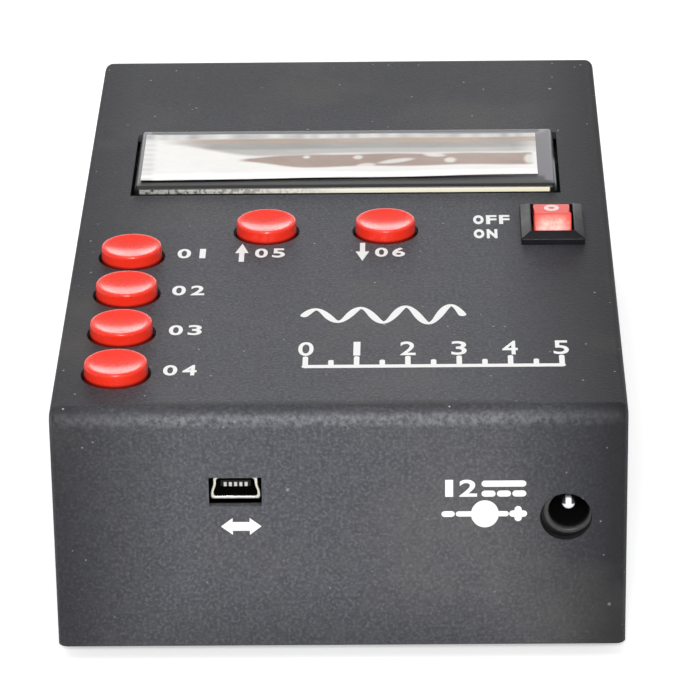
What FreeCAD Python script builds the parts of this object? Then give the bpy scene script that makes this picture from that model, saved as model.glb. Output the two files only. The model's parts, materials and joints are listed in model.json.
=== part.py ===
import FreeCAD, Part
import math
import os
import re
import Sketcher

# A hand-held antenna analyzer: a folded steel case with a display window, six round
# push buttons, a rocker power switch, two sockets in front and one coaxial socket behind.
# Millimetres, +X to the right, +Y to the rear, +Z up. The origin lies on the table,
# under the middle of the whole length, socket included.

SIZES = dict(
    # case: a five-sided folded cover over a shallow tray
    case_width=88.0,
    case_depth=146.0,
    case_height=40.4,
    wall=1.2,
    bend_radius=2.4,
    edge_radius=1.5,
    tray_wall=1.0,
    tray_flange=15.0,
    tray_bend=1.6,
    slip=0.3,
    screw_inset=20.0,
    screw_level=10.5,
    foot_height=2.5,
    foot_diameter=10.0,
    foot_taper=0.8,
    foot_inset=14.0,
    # case screws and the nuts clinched into the tray
    case_screw=3.0,
    case_screw_length=6.0,
    case_head=5.4,
    screw_play=0.1,
    hole_play=0.4,
    head_share=0.8,
    clinch_outer=6.2,
    clinch_length=2.2,
    # main board, hung from the cover on four hexagonal standoffs
    board_thick=1.6,
    board_width=82.4,
    board_gap=0.5,
    board_length=120.7,
    standoff_length=8.8,
    standoff_flats=5.0,
    standoff_front=6.0,
    standoff_front_left=-24.0,
    standoff_front_right=22.0,
    standoff_rear_inset=4.0,
    standoff_rear_side=36.0,
    standoff_web=1.0,
    notch_gap=1.0,
    board_screw_length=7.0,
    board_head=5.6,
    board_head_height=1.8,
    # display module
    lcd_x=0.1,
    lcd_y=96.8,
    lcd_board_width=80.0,
    lcd_board_depth=36.0,
    lcd_hole_width=75.0,
    lcd_hole_depth=31.0,
    lcd_spacer=2.5,
    lcd_spacer_outer=5.0,
    lcd_screw=2.5,
    lcd_head=4.6,
    lcd_head_height=1.5,
    lcd_nut_flats=5.0,
    lcd_nut_height=2.0,
    lcd_screw_end=0.6,
    lcd_width=71.2,
    lcd_depth=25.0,
    lcd_height=7.0,
    lcd_sheet=0.5,
    lcd_corner=0.8,
    lcd_view_width=64.5,
    lcd_view_depth=16.4,
    lcd_glass=2.0,
    lcd_fit=0.35,
    lcd_strip=2.0,
    lcd_light_width=66.0,
    lcd_tab_width=2.0,
    lcd_tab_x=20.0,
    lcd_tab_length=3.0,
    film_width=67.1,
    film_depth=20.8,
    film_thick=0.1,
    film_left=1.05,
    film_rear=0.1,
    window_gap=0.6,
    window_near=0.5,
    pin_count=16,
    pin_pitch=2.54,
    pin_size=0.64,
    pin_hole=0.9,
    pin_first=-32.0,
    pin_row=15.5,
    pin_reach=1.2,
    pin_strip=2.4,
    pin_play=0.02,
    # push buttons
    column_x=-34.4,
    column_first=13.4,
    column_pitch=14.8,
    row_y=67.6,
    row_left=-12.7,
    row_right=6.9,
    switch_side=12.0,
    switch_base=3.5,
    switch_floor=0.9,
    switch_bore=9.0,
    switch_plate=0.3,
    switch_leg=1.0,
    switch_leg_thick=0.3,
    switch_leg_x=6.25,
    switch_leg_y=2.5,
    switch_leg_reach=1.5,
    switch_leg_rise=3.0,
    switch_leg_play=0.4,
    dome_diameter=8.4,
    dome_thick=0.12,
    dome_rise=0.2,
    dome_gap=0.1,
    stem_foot=8.6,
    stem_neck=6.8,
    stem_neck_height=1.0,
    stem_square=3.8,
    stem_gap=0.05,
    stem_play=0.04,
    button_travel=0.3,
    cap_diameter=9.8,
    cap_taper=0.1,
    cap_rim=0.5,
    cap_dish=0.55,
    cap_proud=2.1,
    cap_flange=13.0,
    cap_flange_height=1.4,
    cap_flange_gap=0.9,
    cap_roof=2.0,
    cap_play=0.45,
    # rocker power switch
    rocker_x=34.4,
    rocker_y=68.7,
    rocker_body_length=13.4,
    rocker_body_width=8.8,
    rocker_body_depth=12.0,
    rocker_floor=2.0,
    rocker_bezel_length=14.4,
    rocker_bezel_width=10.4,
    rocker_bezel_edge=1.0,
    rocker_bezel_height=1.85,
    rocker_bezel_lip=0.2,
    rocker_opening_length=11.0,
    rocker_opening_width=6.9,
    rocker_throat=1.4,
    rocker_chamber=11.9,
    rocker_cutout_gap=0.1,
    rocker_barb=0.5,
    rocker_barb_length=2.0,
    rocker_barb_gap=0.05,
    rocker_pivot_drop=0.5,
    rocker_pin=1.6,
    rocker_pin_length=0.45,
    rocker_pin_play=0.05,
    rocker_width=6.1,
    rocker_radius=5.6,
    rocker_valley=2.6,
    rocker_tilt=14.0,
    rocker_under=1.0,
    rocker_plunger=2.6,
    rocker_plunger_reach=6.85,
    rocker_plunger_seat=1.0,
    rocker_plunger_gap=0.1,
    contact_gap=0.25,
    contact_length=8.0,
    contact_width=2.4,
    contact_thick=0.4,
    contact_corner=0.8,
    contact_bead=0.6,
    contact_tilt=8.0,
    terminal_width=3.0,
    terminal_thick=0.5,
    terminal_far=3.7,
    terminal_gap=0.15,
    terminal_play=0.1,
    terminal_reach=5.0,
    lead_diameter=1.3,
    lead_run=4.0,
    lead_bend=3.8,
    # power socket
    jack_x=35.1,
    jack_hole_x=34.6,
    jack_hole=7.9,
    jack_hole_drop=0.4,
    jack_gap=0.1,
    jack_drop=6.3,
    jack_below=4.7,
    jack_width=9.0,
    jack_front=3.4,
    jack_length=14.4,
    jack_back_width=8.4,
    jack_step=0.6,
    jack_bore=6.3,
    jack_bore_depth=9.6,
    jack_pin=2.0,
    jack_pin_set_back=2.3,
    jack_pin_round=0.4,
    jack_spring_width=2.4,
    jack_spring_thick=0.3,
    jack_spring_length=8.0,
    jack_spring_gap=0.15,
    jack_spring_play=0.2,
    # data socket
    usb_x=-15.9,
    usb_slot_width=8.1,
    usb_slot_height=4.9,
    usb_slot_drop=0.15,
    usb_set_back=0.2,
    usb_width=7.6,
    usb_narrow=6.8,
    usb_height=3.95,
    usb_round=0.6,
    usb_flare_drop=0.66,
    usb_neck_rise=0.33,
    usb_length=9.2,
    usb_sheet=0.45,
    usb_fit=0.02,
    usb_back=3.0,
    usb_tongue_width=4.6,
    usb_tongue_thick=1.0,
    usb_tongue_rise=0.2,
    usb_tongue_set_back=1.0,
    usb_contact_count=5,
    usb_contact_pitch=0.8,
    usb_contact_width=0.45,
    usb_contact_thick=0.7,
    usb_contact_proud=0.05,
    # antenna socket
    socket_level=20.2,
    socket_flange=25.4,
    socket_flange_thick=2.4,
    socket_corner=1.5,
    socket_holes=18.2,
    socket_outer=15.8,
    socket_inner=12.4,
    socket_reach=17.8,
    socket_neck=15.0,
    socket_neck_depth=3.0,
    socket_floor=4.8,
    socket_notch=1.6,
    socket_notch_depth=1.0,
    socket_insulator=9.0,
    socket_contact=5.6,
    socket_contact_bore=4.0,
    socket_contact_set_back=1.2,
    socket_contact_proud=0.3,
    socket_contact_depth=11.0,
    socket_slit=0.5,
    socket_slit_root=2.0,
    socket_cup=3.2,
    socket_cup_length=6.0,
    socket_screw=3.0,
    socket_screw_length=8.0,
    socket_head=5.6,
    socket_head_height=1.9,
    nut_flats=5.5,
    nut_height=2.4,
    antenna_lead=2.0,
    antenna_pad_inset=4.0,
    # parts soldered under the main board
    chip_length=10.2,
    chip_width=5.3,
    chip_height=1.8,
    chip_side_legs=14,
    chip_pitch=0.65,
    chip_leg=0.3,
    chip_foot=1.2,
    chip_gap=0.1,
    processor_x=-12.0,
    signal_x=8.0,
    chip_y=44.0,
    small_chip_length=4.9,
    small_chip_width=3.9,
    small_chip_height=1.5,
    small_chip_legs=4,
    small_chip_pitch=1.27,
    small_chip_leg=0.42,
    small_chip_x=-14.0,
    small_chip_y=98.0,
    small_chip_spacing=12.0,
    regulator_width=6.6,
    regulator_length=6.1,
    regulator_height=2.3,
    regulator_tab=1.1,
    regulator_tab_inset=0.5,
    regulator_leg=0.9,
    regulator_leg_thick=0.6,
    regulator_x=22.0,
    regulator_y=26.0,
    regulator_spacing=13.0,
    crystal_length=11.0,
    crystal_width=4.6,
    crystal_height=3.6,
    crystal_rim=0.4,
    crystal_rim_height=0.5,
    crystal_bulge=1.02,
    crystal_x=-2.0,
    crystal_y=56.0,
    can_diameter=6.3,
    can_height=7.7,
    can_base=6.6,
    can_base_height=1.2,
    can_edge=0.4,
    can_x=35.0,
    can_y=24.0,
    can_spacing=9.0,
    coil_outer=9.5,
    coil_inner=5.0,
    coil_height=3.2,
    coil_edge=0.5,
    coil_gap=0.2,
    coil_x=22.0,
    coil_y=100.0,
    coil_spacing=12.5,
)

# Levels and planes that several pieces share, as expressions of the sizes.
FRONT = "(-(case_depth + socket_reach) / 2)"
REAR = f"({FRONT} + case_depth)"
TOP = "(foot_height + case_height)"
UNDER_TOP = f"({TOP} - wall)"
BOARD_TOP = f"({UNDER_TOP} - standoff_length)"
BOARD_UNDER = f"({BOARD_TOP} - board_thick)"
BOARD_FRONT = "(wall + board_gap)"
BOARD_REAR = f"({BOARD_FRONT} + board_length)"
LCD_BOARD_UNDER = f"({BOARD_TOP} + lcd_spacer)"
LCD_BOARD_TOP = f"({LCD_BOARD_UNDER} + board_thick)"
CAP_BOTTOM = f"({UNDER_TOP} - cap_flange_gap - cap_flange_height)"
STEM_TOP = f"({TOP} + cap_proud - cap_roof)"
PIVOT = f"({TOP} - rocker_pivot_drop)"
THROUGH = "(2 * wall)"

doc = FreeCAD.newDocument("antenna_analyzer")
sheet = doc.addObject("Spreadsheet::Sheet", "Sizes")
for row, (alias, size) in enumerate(SIZES.items(), start=1):
    sheet.set(f"A{row}", alias.replace("_", " "))
    sheet.set(f"B{row}", str(size))
    sheet.setAlias(f"B{row}", alias)
doc.recompute()

parts = []


def bind(text):
    """Return an expression with the name of each size pointed at its cell."""
    def cell(word):
        return f"Sizes.{word[0]}" if word[0] in SIZES else word[0]
    return re.sub(r"[a-z][a-z0-9_]*", cell, str(text))


def number(text):
    """Return the present value of an expression of the sizes."""
    return float(sheet.evalExpression(str(text)))


def place(piece, x="0", y="0", z="0"):
    """Bind where the origin of a piece lies."""
    for axis, text in zip("xyz", (x, y, z)):
        piece.setExpression(f"Placement.Base.{axis}", bind(text))
    return piece


def keep(piece, label):
    """Name a finished sub-part and put it on the list of files."""
    piece.Label = label
    parts.append(piece)
    return piece


def new_body(name):
    return doc.addObject("PartDesign::Body", name)


def origin_item(body, role):
    return next(item for item in body.Origin.OriginFeatures if item.Role == role)


def sketch_on(body, plane, offset="0"):
    """Start a sketch on an origin plane of the body, moved along the plane's normal."""
    sketch = body.newObject("Sketcher::SketchObject", f"{body.Name}_sketch")
    sketch.AttachmentSupport = (origin_item(body, plane), [""])
    sketch.MapMode = "FlatFace"
    sketch.setExpression(".AttachmentOffset.Base.z", bind(offset))
    return sketch


def constrain(sketch, text, *what):
    """Add a constraint whose value is an expression of the sizes."""
    index = sketch.addConstraint(Sketcher.Constraint(*what, number(text)))
    sketch.setExpression(f"Constraints[{index}]", bind(text))


def fix_point(sketch, geometry, end, x, y):
    constrain(sketch, x, "DistanceX", -1, 1, geometry, end)
    constrain(sketch, y, "DistanceY", -1, 1, geometry, end)


def outline(sketch, points):
    """Draw a closed loop. A point (x, y) is reached by a line, and (x, y, radius, turn)
    by an arc, counter-clockwise where turn is 1 and clockwise where it is -1."""
    ends = []
    for here, there in zip(points, points[1:] + points[:1]):
        start = FreeCAD.Vector(number(here[0]), number(here[1]), 0)
        finish = FreeCAD.Vector(number(there[0]), number(there[1]), 0)
        if len(there) == 2:
            ends.append((sketch.addGeometry(Part.LineSegment(start, finish)), 1, 2))
            continue
        radius, turn = number(there[2]), there[3]
        half = (finish - start) * 0.5
        across = FreeCAD.Vector(-half.y, half.x, 0).normalize() * turn
        rise = math.sqrt(max(radius ** 2 - half.Length ** 2, 0.0))
        centre = start + half + across * rise
        angles = [math.atan2(p.y - centre.y, p.x - centre.x) for p in (start, finish)]
        circle = Part.Circle(centre, FreeCAD.Vector(0, 0, 1), radius)
        arc = sketch.addGeometry(Part.ArcOfCircle(circle, *angles[::turn]))
        constrain(sketch, there[2], "Radius", arc)
        ends.append((arc, 1, 2) if turn == 1 else (arc, 2, 1))
    for (edge, _, last), (following, first, _) in zip(ends, ends[1:] + ends[:1]):
        sketch.addConstraint(Sketcher.Constraint("Coincident", edge, last, following, first))
    for (edge, first, _), point in zip(ends, points):
        fix_point(sketch, edge, first, point[0], point[1])
    return sketch


def rectangle(sketch, x, y, width, depth):
    """Draw a rectangle round the point (x, y)."""
    left, right = f"({x}) - ({width}) / 2", f"({x}) + ({width}) / 2"
    low, high = f"({y}) - ({depth}) / 2", f"({y}) + ({depth}) / 2"
    return outline(sketch, [(left, low), (right, low), (right, high), (left, high)])


def circle(sketch, x, y, diameter):
    centre = FreeCAD.Vector(number(x), number(y), 0)
    shape = Part.Circle(centre, FreeCAD.Vector(0, 0, 1), number(diameter) / 2)
    ring = sketch.addGeometry(shape)
    fix_point(sketch, ring, 3, x, y)
    constrain(sketch, diameter, "Diameter", ring)
    return sketch


def hexagon(sketch, x, y, flats):
    """Draw a hexagon by its width over flats, with two flats facing +X and -X."""
    corner = f"({flats}) / sqrt(3)"
    points = [
        (f"({x}) + ({flats}) / 2", f"({y}) - {corner} / 2"),
        (f"({x}) + ({flats}) / 2", f"({y}) + {corner} / 2"),
        (x, f"({y}) + {corner}"),
        (f"({x}) - ({flats}) / 2", f"({y}) + {corner} / 2"),
        (f"({x}) - ({flats}) / 2", f"({y}) - {corner} / 2"),
        (x, f"({y}) - {corner}"),
    ]
    return outline(sketch, points)


def extrude(kind, body, sketch, length, **settings):
    """Pad or pocket a sketch by a bound length."""
    feature = body.newObject(f"PartDesign::{kind}", f"{body.Name}_{kind.lower()}")
    feature.Profile = sketch
    feature.setExpression("Length", bind(length))
    for name, setting in settings.items():
        setattr(feature, name, setting)
    return feature


def pad(body, sketch, length, **settings):
    return extrude("Pad", body, sketch, length, **settings)


def pocket(body, sketch, length, **settings):
    return extrude("Pocket", body, sketch, length, **settings)


def revolve(body, sketch, kind="Revolution"):
    """Turn a sketch a full circle about its own vertical axis."""
    feature = body.newObject(f"PartDesign::{kind}", f"{body.Name}_{kind.lower()}")
    feature.Profile = sketch
    feature.ReferenceAxis = (sketch, ["V_Axis"])
    feature.Angle = 360
    return feature


def edges_where(feature, test):
    """Name the edges of a feature whose bounding box passes a test."""
    doc.recompute()
    found = [f"Edge{n}" for n, edge in enumerate(feature.Shape.Edges, start=1)
             if test(edge.BoundBox)]
    if not found:
        raise ValueError(f"no edge found on {feature.Name}")
    return found


def dress(kind, body, feature, size, test):
    """Fillet or chamfer the edges that pass a test."""
    finish = body.newObject(f"PartDesign::{kind}", f"{body.Name}_{kind.lower()}")
    finish.Base = (feature, edges_where(feature, test))
    finish.setExpression("Radius" if kind == "Fillet" else "Size", bind(size))
    return finish


def fillet(body, feature, size, test):
    return dress("Fillet", body, feature, size, test)


def near(value, target):
    return abs(value - target) < 1e-4


def flat_at(low, high, target):
    """True where an edge lies wholly at one coordinate."""
    return near(low, target) and near(high, target)


def row_of(body, feature, axis, spacing, count):
    """Repeat a feature along an origin axis of the body."""
    pattern = body.newObject("PartDesign::LinearPattern", f"{body.Name}_row")
    pattern.Originals = [feature]
    pattern.Direction = (origin_item(body, axis), [""])
    pattern.setExpression("Length", bind(f"{spacing} * ({count} - 1)"))
    pattern.setExpression("Occurrences", bind(count))
    body.Tip = pattern
    return pattern


def block(name, width, depth, height, x, y, z):
    """Make a plain block centred on (x, y) and standing on z."""
    box = doc.addObject("Part::Box", name)
    for side, text in (("Length", width), ("Width", depth), ("Height", height)):
        box.setExpression(side, bind(text))
    return place(box, f"({x}) - ({width}) / 2", f"({y}) - ({depth}) / 2", z)


def rod(name, diameter, length, x, y, z, along=(0, 0, 1)):
    """Make a cylinder from (x, y, z) in the direction along."""
    cylinder = doc.addObject("Part::Cylinder", name)
    cylinder.setExpression("Radius", bind(f"({diameter}) / 2"))
    cylinder.setExpression("Height", bind(length))
    turn = FreeCAD.Rotation(FreeCAD.Vector(0, 0, 1), FreeCAD.Vector(*along))
    cylinder.Placement = FreeCAD.Placement(FreeCAD.Vector(), turn)
    return place(cylinder, x, y, z)


def fuse(name, *pieces):
    union = doc.addObject("Part::MultiFuse", name)
    union.Shapes = list(pieces)
    return union


def subtract(name, base, tool):
    difference = doc.addObject("Part::Cut", name)
    difference.Base = base
    difference.Tool = tool
    return difference


def group(name, pieces):
    """Keep like pieces together as one sub-part of separate solids."""
    compound = doc.addObject("Part::Compound", name)
    compound.Links = list(pieces)
    return compound


def frustum(name, lower, upper, height, x, y, z, along=(0, 0, 1)):
    """Make a cone's lower part from (x, y, z) in the direction along, by its diameters."""
    cone = doc.addObject("Part::Cone", name)
    cone.setExpression("Radius1", bind(f"({lower}) / 2"))
    cone.setExpression("Radius2", bind(f"({upper}) / 2"))
    cone.setExpression("Height", bind(height))
    turn = FreeCAD.Rotation(FreeCAD.Vector(0, 0, 1), FreeCAD.Vector(*along))
    cone.Placement = FreeCAD.Placement(FreeCAD.Vector(), turn)
    return place(cone, x, y, z)


def screw(name, shank, length, head, head_height, x, y, z, along):
    """Make a pan-head screw whose head sits on (x, y, z); along points to its tip."""
    back = tuple(-step for step in along)
    stem = rod(f"{name}_shank", shank, length, x, y, z, along)
    cap = frustum(f"{name}_head", head, f"head_share * {head}", head_height, x, y, z, back)
    return fuse(name, stem, cap)


# ---------------------------------------------------------------- cover

# The cover is folded from one sheet and welded at its corners. Its side profile is drawn
# in its own frame, where y = 0 is the outer front face and z = 0 the lower rim.

def hole_places():
    """Give the six button axes as (x, y) in the case's frame, column first."""
    column = [("column_x", f"column_first + {n} * column_pitch") for n in range(4)]
    return column + [("row_left", "row_y"), ("row_right", "row_y")]


cover = new_body("cover")
profile = outline(sketch_on(cover, "YZ_Plane"), [
    ("0", "0"),
    ("case_depth", "0"),
    ("case_depth", "case_height - bend_radius"),
    ("case_depth - bend_radius", "case_height", "bend_radius", 1),
    ("bend_radius", "case_height"),
    ("0", "case_height - bend_radius", "bend_radius", 1),
])
shell = pad(cover, profile, "case_width", SideType="Symmetric")
sides = fillet(cover, shell, "edge_radius", lambda box: near(box.XLength, 0) and box.ZMax > 1)
doc.recompute()
hollow = cover.newObject("PartDesign::Thickness", "cover_hollow")
rim_face = next(f"Face{n}" for n, face in enumerate(sides.Shape.Faces, start=1)
                if flat_at(face.BoundBox.ZMin, face.BoundBox.ZMax, 0))
hollow.Base = (sides, [rim_face])
hollow.Reversed = True
hollow.setExpression("Value", bind("wall"))

openings = sketch_on(cover, "XY_Plane", "case_height")
rectangle(openings, "lcd_x", "lcd_y - window_near / 2", "lcd_width + 2 * window_gap",
          "lcd_depth + 2 * window_gap + window_near")
rectangle(openings, "rocker_x", "rocker_y", "rocker_body_width + 2 * rocker_cutout_gap",
          "rocker_body_length + 2 * rocker_cutout_gap")
for x, y in hole_places():
    circle(openings, x, y, "cap_diameter + 2 * cap_taper + 2 * cap_play")
pocket(cover, openings, THROUGH)

front_holes = sketch_on(cover, "XZ_Plane")
USB_LEVEL = "(case_height - wall - standoff_length - board_thick - usb_height / 2)"
JACK_LEVEL = "(case_height - wall - standoff_length - board_thick - jack_drop)"
rectangle(front_holes, "usb_x", f"{USB_LEVEL} - usb_slot_drop", "usb_slot_width",
          "usb_slot_height")
circle(front_holes, "jack_hole_x", f"{JACK_LEVEL} - jack_hole_drop", "jack_hole")
pocket(cover, front_holes, THROUGH)

rear_holes = sketch_on(cover, "XZ_Plane", f"{THROUGH} - case_depth")
circle(rear_holes, "0", "socket_level", "socket_neck + hole_play")
for side in (-1, 1):
    for level in (-1, 1):
        circle(rear_holes, f"{side} * socket_holes / 2",
               f"socket_level + {level} * socket_holes / 2", "socket_screw + hole_play")
pocket(cover, rear_holes, f"{THROUGH} + wall")

side_holes = sketch_on(cover, "YZ_Plane")
SCREW_ROWS = ("screw_inset", "case_depth - screw_inset")
for y in SCREW_ROWS:
    circle(side_holes, y, "screw_level", "case_screw + hole_play")
pocket(cover, side_holes, f"case_width + {THROUGH}", SideType="Symmetric")
for side in (-1, 1):
    seats = sketch_on(cover, "YZ_Plane", f"{side} * case_width / 2")
    for y in SCREW_ROWS:
        circle(seats, y, "screw_level", "case_head + 2 * screw_play")
    pocket(cover, seats, "wall", Reversed=side < 0, TaperAngle=-45)
place(keep(cover, "top_cover"), "0", FRONT, "foot_height")

# ---------------------------------------------------------------- tray, screws and feet

# The tray is a flat-bottomed channel inside the cover's side walls, level with its rim.
TRAY_HALF = "(case_width / 2 - wall - slip)"
tray = new_body("tray")
channel = outline(sketch_on(tray, "XZ_Plane"), [
    (f"-{TRAY_HALF} + tray_bend", "0", "tray_bend", 1),
    (f"{TRAY_HALF} - tray_bend", "0"),
    (TRAY_HALF, "tray_bend", "tray_bend", 1),
    (TRAY_HALF, "tray_flange"),
    (f"{TRAY_HALF} - tray_wall", "tray_flange"),
    (f"{TRAY_HALF} - tray_wall", "tray_bend"),
    (f"{TRAY_HALF} - tray_bend", "tray_wall", "tray_bend - tray_wall", -1),
    (f"-{TRAY_HALF} + tray_bend", "tray_wall"),
    (f"-{TRAY_HALF} + tray_wall", "tray_bend", "tray_bend - tray_wall", -1),
    (f"-{TRAY_HALF} + tray_wall", "tray_flange"),
    (f"-{TRAY_HALF}", "tray_flange"),
    (f"-{TRAY_HALF}", "tray_bend"),
])
TRAY_LENGTH = "(case_depth - 2 * wall - 2 * slip)"
pad(tray, channel, TRAY_LENGTH, Reversed=True)
nut_holes = sketch_on(tray, "YZ_Plane")
for y in SCREW_ROWS:
    circle(nut_holes, f"{y} - wall - slip", "screw_level", "case_screw + hole_play")
pocket(tray, nut_holes, "case_width", SideType="Symmetric")
place(keep(tray, "base_tray"), "0", f"{FRONT} + wall + slip", "foot_height")

screws = []
nuts = []
for side in (-1, 1):
    for n, y in enumerate(SCREW_ROWS):
        name = f"case_screw_{'left' if side < 0 else 'right'}_{n + 1}"
        along = (-side, 0, 0)
        level = "foot_height + screw_level"
        seat = (f"{side} * case_width / 2", f"{FRONT} + {y}", level, along)
        screws.append(fuse(name, rod(f"{name}_shank", "case_screw", "case_screw_length", *seat),
                           frustum(f"{name}_head", "case_head", "case_screw",
                                   "(case_head - case_screw) / 2", *seat)))
        inner = f"{side} * ({TRAY_HALF} - tray_wall)"
        ring = rod(f"{name}_nut_body", "clinch_outer", "clinch_length", inner,
                   f"{FRONT} + {y}", level, along)
        bore = rod(f"{name}_nut_bore", "case_screw + screw_play", "clinch_length", inner,
                   f"{FRONT} + {y}", level, along)
        nuts.append(subtract(f"{name}_nut", ring, bore))
keep(group("cover_screws", screws), "cover_screws")
keep(group("clinch_nuts", nuts), "clinch_nuts")

feet = []
for side in (-1, 1):
    for n, y in enumerate((f"{FRONT} + foot_inset", f"{REAR} - foot_inset")):
        name = f"foot_{'left' if side < 0 else 'right'}_{n + 1}"
        feet.append(frustum(name, "foot_diameter - 2 * foot_taper", "foot_diameter",
                            "foot_height", f"{side} * (case_width / 2 - foot_inset)", y, "0"))
keep(group("rubber_feet", feet), "rubber_feet")

# ---------------------------------------------------------------- main board

STANDOFFS = [
    ("standoff_front_left", "standoff_front"),
    ("standoff_front_right", "standoff_front"),
    ("-standoff_rear_side", f"{BOARD_REAR} - standoff_rear_inset"),
    ("standoff_rear_side", f"{BOARD_REAR} - standoff_rear_inset"),
]
LCD_HOLES = [(f"lcd_x + {sx} * lcd_hole_width / 2", f"lcd_y + {sy} * lcd_hole_depth / 2")
             for sx in (-1, 1) for sy in (-1, 1)]
NOTCH_LEFT = "(rocker_x - rocker_body_width / 2 - rocker_barb - notch_gap)"
NOTCH_HALF = "(rocker_body_length / 2 + rocker_barb + notch_gap)"


def pin_holes(body, offset, x, y):
    """Cut the row of square holes for the display's pins through a board."""
    hole = rectangle(sketch_on(body, "XY_Plane", offset), x, y, "pin_hole", "pin_hole")
    return row_of(body, pocket(body, hole, "board_thick"), "X_Axis", "pin_pitch", "pin_count")


board = new_body("board")
edge = outline(sketch_on(board, "XY_Plane"), [
    ("-board_width / 2", BOARD_FRONT),
    ("board_width / 2", BOARD_FRONT),
    ("board_width / 2", f"rocker_y - {NOTCH_HALF}"),
    (NOTCH_LEFT, f"rocker_y - {NOTCH_HALF}"),
    (NOTCH_LEFT, f"rocker_y + {NOTCH_HALF}"),
    ("board_width / 2", f"rocker_y + {NOTCH_HALF}"),
    ("board_width / 2", BOARD_REAR),
    ("-board_width / 2", BOARD_REAR),
])
pad(board, edge, "board_thick")
holes = sketch_on(board, "XY_Plane", "board_thick")
for x, y in STANDOFFS:
    circle(holes, x, y, "case_screw + hole_play")
for x, y in LCD_HOLES:
    circle(holes, x, y, "lcd_screw + hole_play / 2")
for x, y in hole_places():
    for side in (-1, 1):
        for end in (-1, 1):
            rectangle(holes, f"{x} + {side} * switch_leg_x", f"{y} + {end} * switch_leg_y",
                      "switch_leg_thick + switch_leg_play", "switch_leg + switch_leg_play")
for y in ("jack_length + jack_spring_thick / 2", "jack_bore_depth - jack_spring_thick / 2"):
    rectangle(holes, "jack_x", f"wall + jack_gap + {y}", "jack_spring_width + hole_play",
              "jack_spring_thick + hole_play")
pocket(board, holes, "board_thick")
pin_holes(board, "board_thick", "lcd_x + pin_first", "lcd_y + pin_row")
place(keep(board, "main_board"), "0", FRONT, BOARD_UNDER)

posts = new_body("posts")
hexagons = sketch_on(posts, "XY_Plane")
bores = sketch_on(posts, "XY_Plane")
for x, y in STANDOFFS:
    hexagon(hexagons, x, y, "standoff_flats")
    circle(bores, x, y, "case_screw + screw_play")
pad(posts, hexagons, "standoff_length")
pocket(posts, bores, "standoff_length - standoff_web", Reversed=True)
place(keep(posts, "board_standoffs"), "0", FRONT, BOARD_TOP)

keep(group("board_screws", [
    screw(f"board_screw_{n}", "case_screw", "board_screw_length", "board_head",
          "board_head_height", x, f"{FRONT} + {y}", BOARD_UNDER, (0, 0, 1))
    for n, (x, y) in enumerate(STANDOFFS, start=1)]), "board_screws")

# ---------------------------------------------------------------- display

lcd_board = new_body("lcd_board")
pad(lcd_board, rectangle(sketch_on(lcd_board, "XY_Plane"), "0", "0",
                         "lcd_board_width", "lcd_board_depth"), "board_thick")
lcd_cuts = sketch_on(lcd_board, "XY_Plane", "board_thick")
TAB_Y = "(lcd_depth / 2 - lcd_sheet / 2)"
for side in (-1, 1):
    for end in (-1, 1):
        circle(lcd_cuts, f"{side} * lcd_hole_width / 2", f"{end} * lcd_hole_depth / 2",
               "lcd_screw + hole_play / 2")
        rectangle(lcd_cuts, f"{side} * lcd_tab_x", f"{end} * {TAB_Y}",
                  "lcd_tab_width + hole_play", "lcd_sheet + hole_play")
pocket(lcd_board, lcd_cuts, "board_thick")
pin_holes(lcd_board, "board_thick", "pin_first", "pin_row")
place(keep(lcd_board, "lcd_board"), "lcd_x", f"{FRONT} + lcd_y", LCD_BOARD_UNDER)

spacers = new_body("spacers")
rings = sketch_on(spacers, "XY_Plane")
for x, y in LCD_HOLES:
    circle(rings, x, y, "lcd_spacer_outer")
    circle(rings, x, y, "lcd_screw + hole_play / 2")
pad(spacers, rings, "lcd_spacer")
place(keep(spacers, "lcd_spacers"), "0", FRONT, BOARD_TOP)

LCD_GRIP = "(2 * board_thick + lcd_spacer + lcd_nut_height + lcd_screw_end)"
keep(group("lcd_screws", [
    screw(f"lcd_screw_{n}", "lcd_screw", LCD_GRIP, "lcd_head", "lcd_head_height",
          x, f"{FRONT} + {y}", BOARD_UNDER, (0, 0, 1))
    for n, (x, y) in enumerate(LCD_HOLES, start=1)]), "lcd_screws")

lcd_nuts = new_body("lcd_nuts_body")
nut_rings = sketch_on(lcd_nuts, "XY_Plane")
for x, y in LCD_HOLES:
    hexagon(nut_rings, x, y, "lcd_nut_flats")
    circle(nut_rings, x, y, "lcd_screw + screw_play")
pad(lcd_nuts, nut_rings, "lcd_nut_height")
place(keep(lcd_nuts, "lcd_nuts"), "0", FRONT, LCD_BOARD_TOP)

# The header is a plastic strip between the two boards with square pins through it.
PIN_CENTRE = "(lcd_x + pin_first + (pin_count - 1) * pin_pitch / 2)"
strip = new_body("strip")
pad(strip, rectangle(sketch_on(strip, "XY_Plane"), PIN_CENTRE, "lcd_y + pin_row",
                     "pin_count * pin_pitch", "pin_strip"), "lcd_spacer")
strip_hole = rectangle(sketch_on(strip, "XY_Plane", "lcd_spacer"), "lcd_x + pin_first",
                       "lcd_y + pin_row", "pin_size + pin_play", "pin_size + pin_play")
row_of(strip, pocket(strip, strip_hole, "lcd_spacer"), "X_Axis", "pin_pitch", "pin_count")
place(keep(strip, "lcd_header_strip"), "0", FRONT, BOARD_TOP)

pins = new_body("pins")
pin = pad(pins, rectangle(sketch_on(pins, "XY_Plane"), "lcd_x + pin_first", "lcd_y + pin_row",
                          "pin_size", "pin_size"),
          "lcd_spacer + 2 * board_thick + 2 * pin_reach")
row_of(pins, pin, "X_Axis", "pin_pitch", "pin_count")
place(keep(pins, "lcd_header_pins"), "0", FRONT, f"{BOARD_UNDER} - pin_reach")

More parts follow.
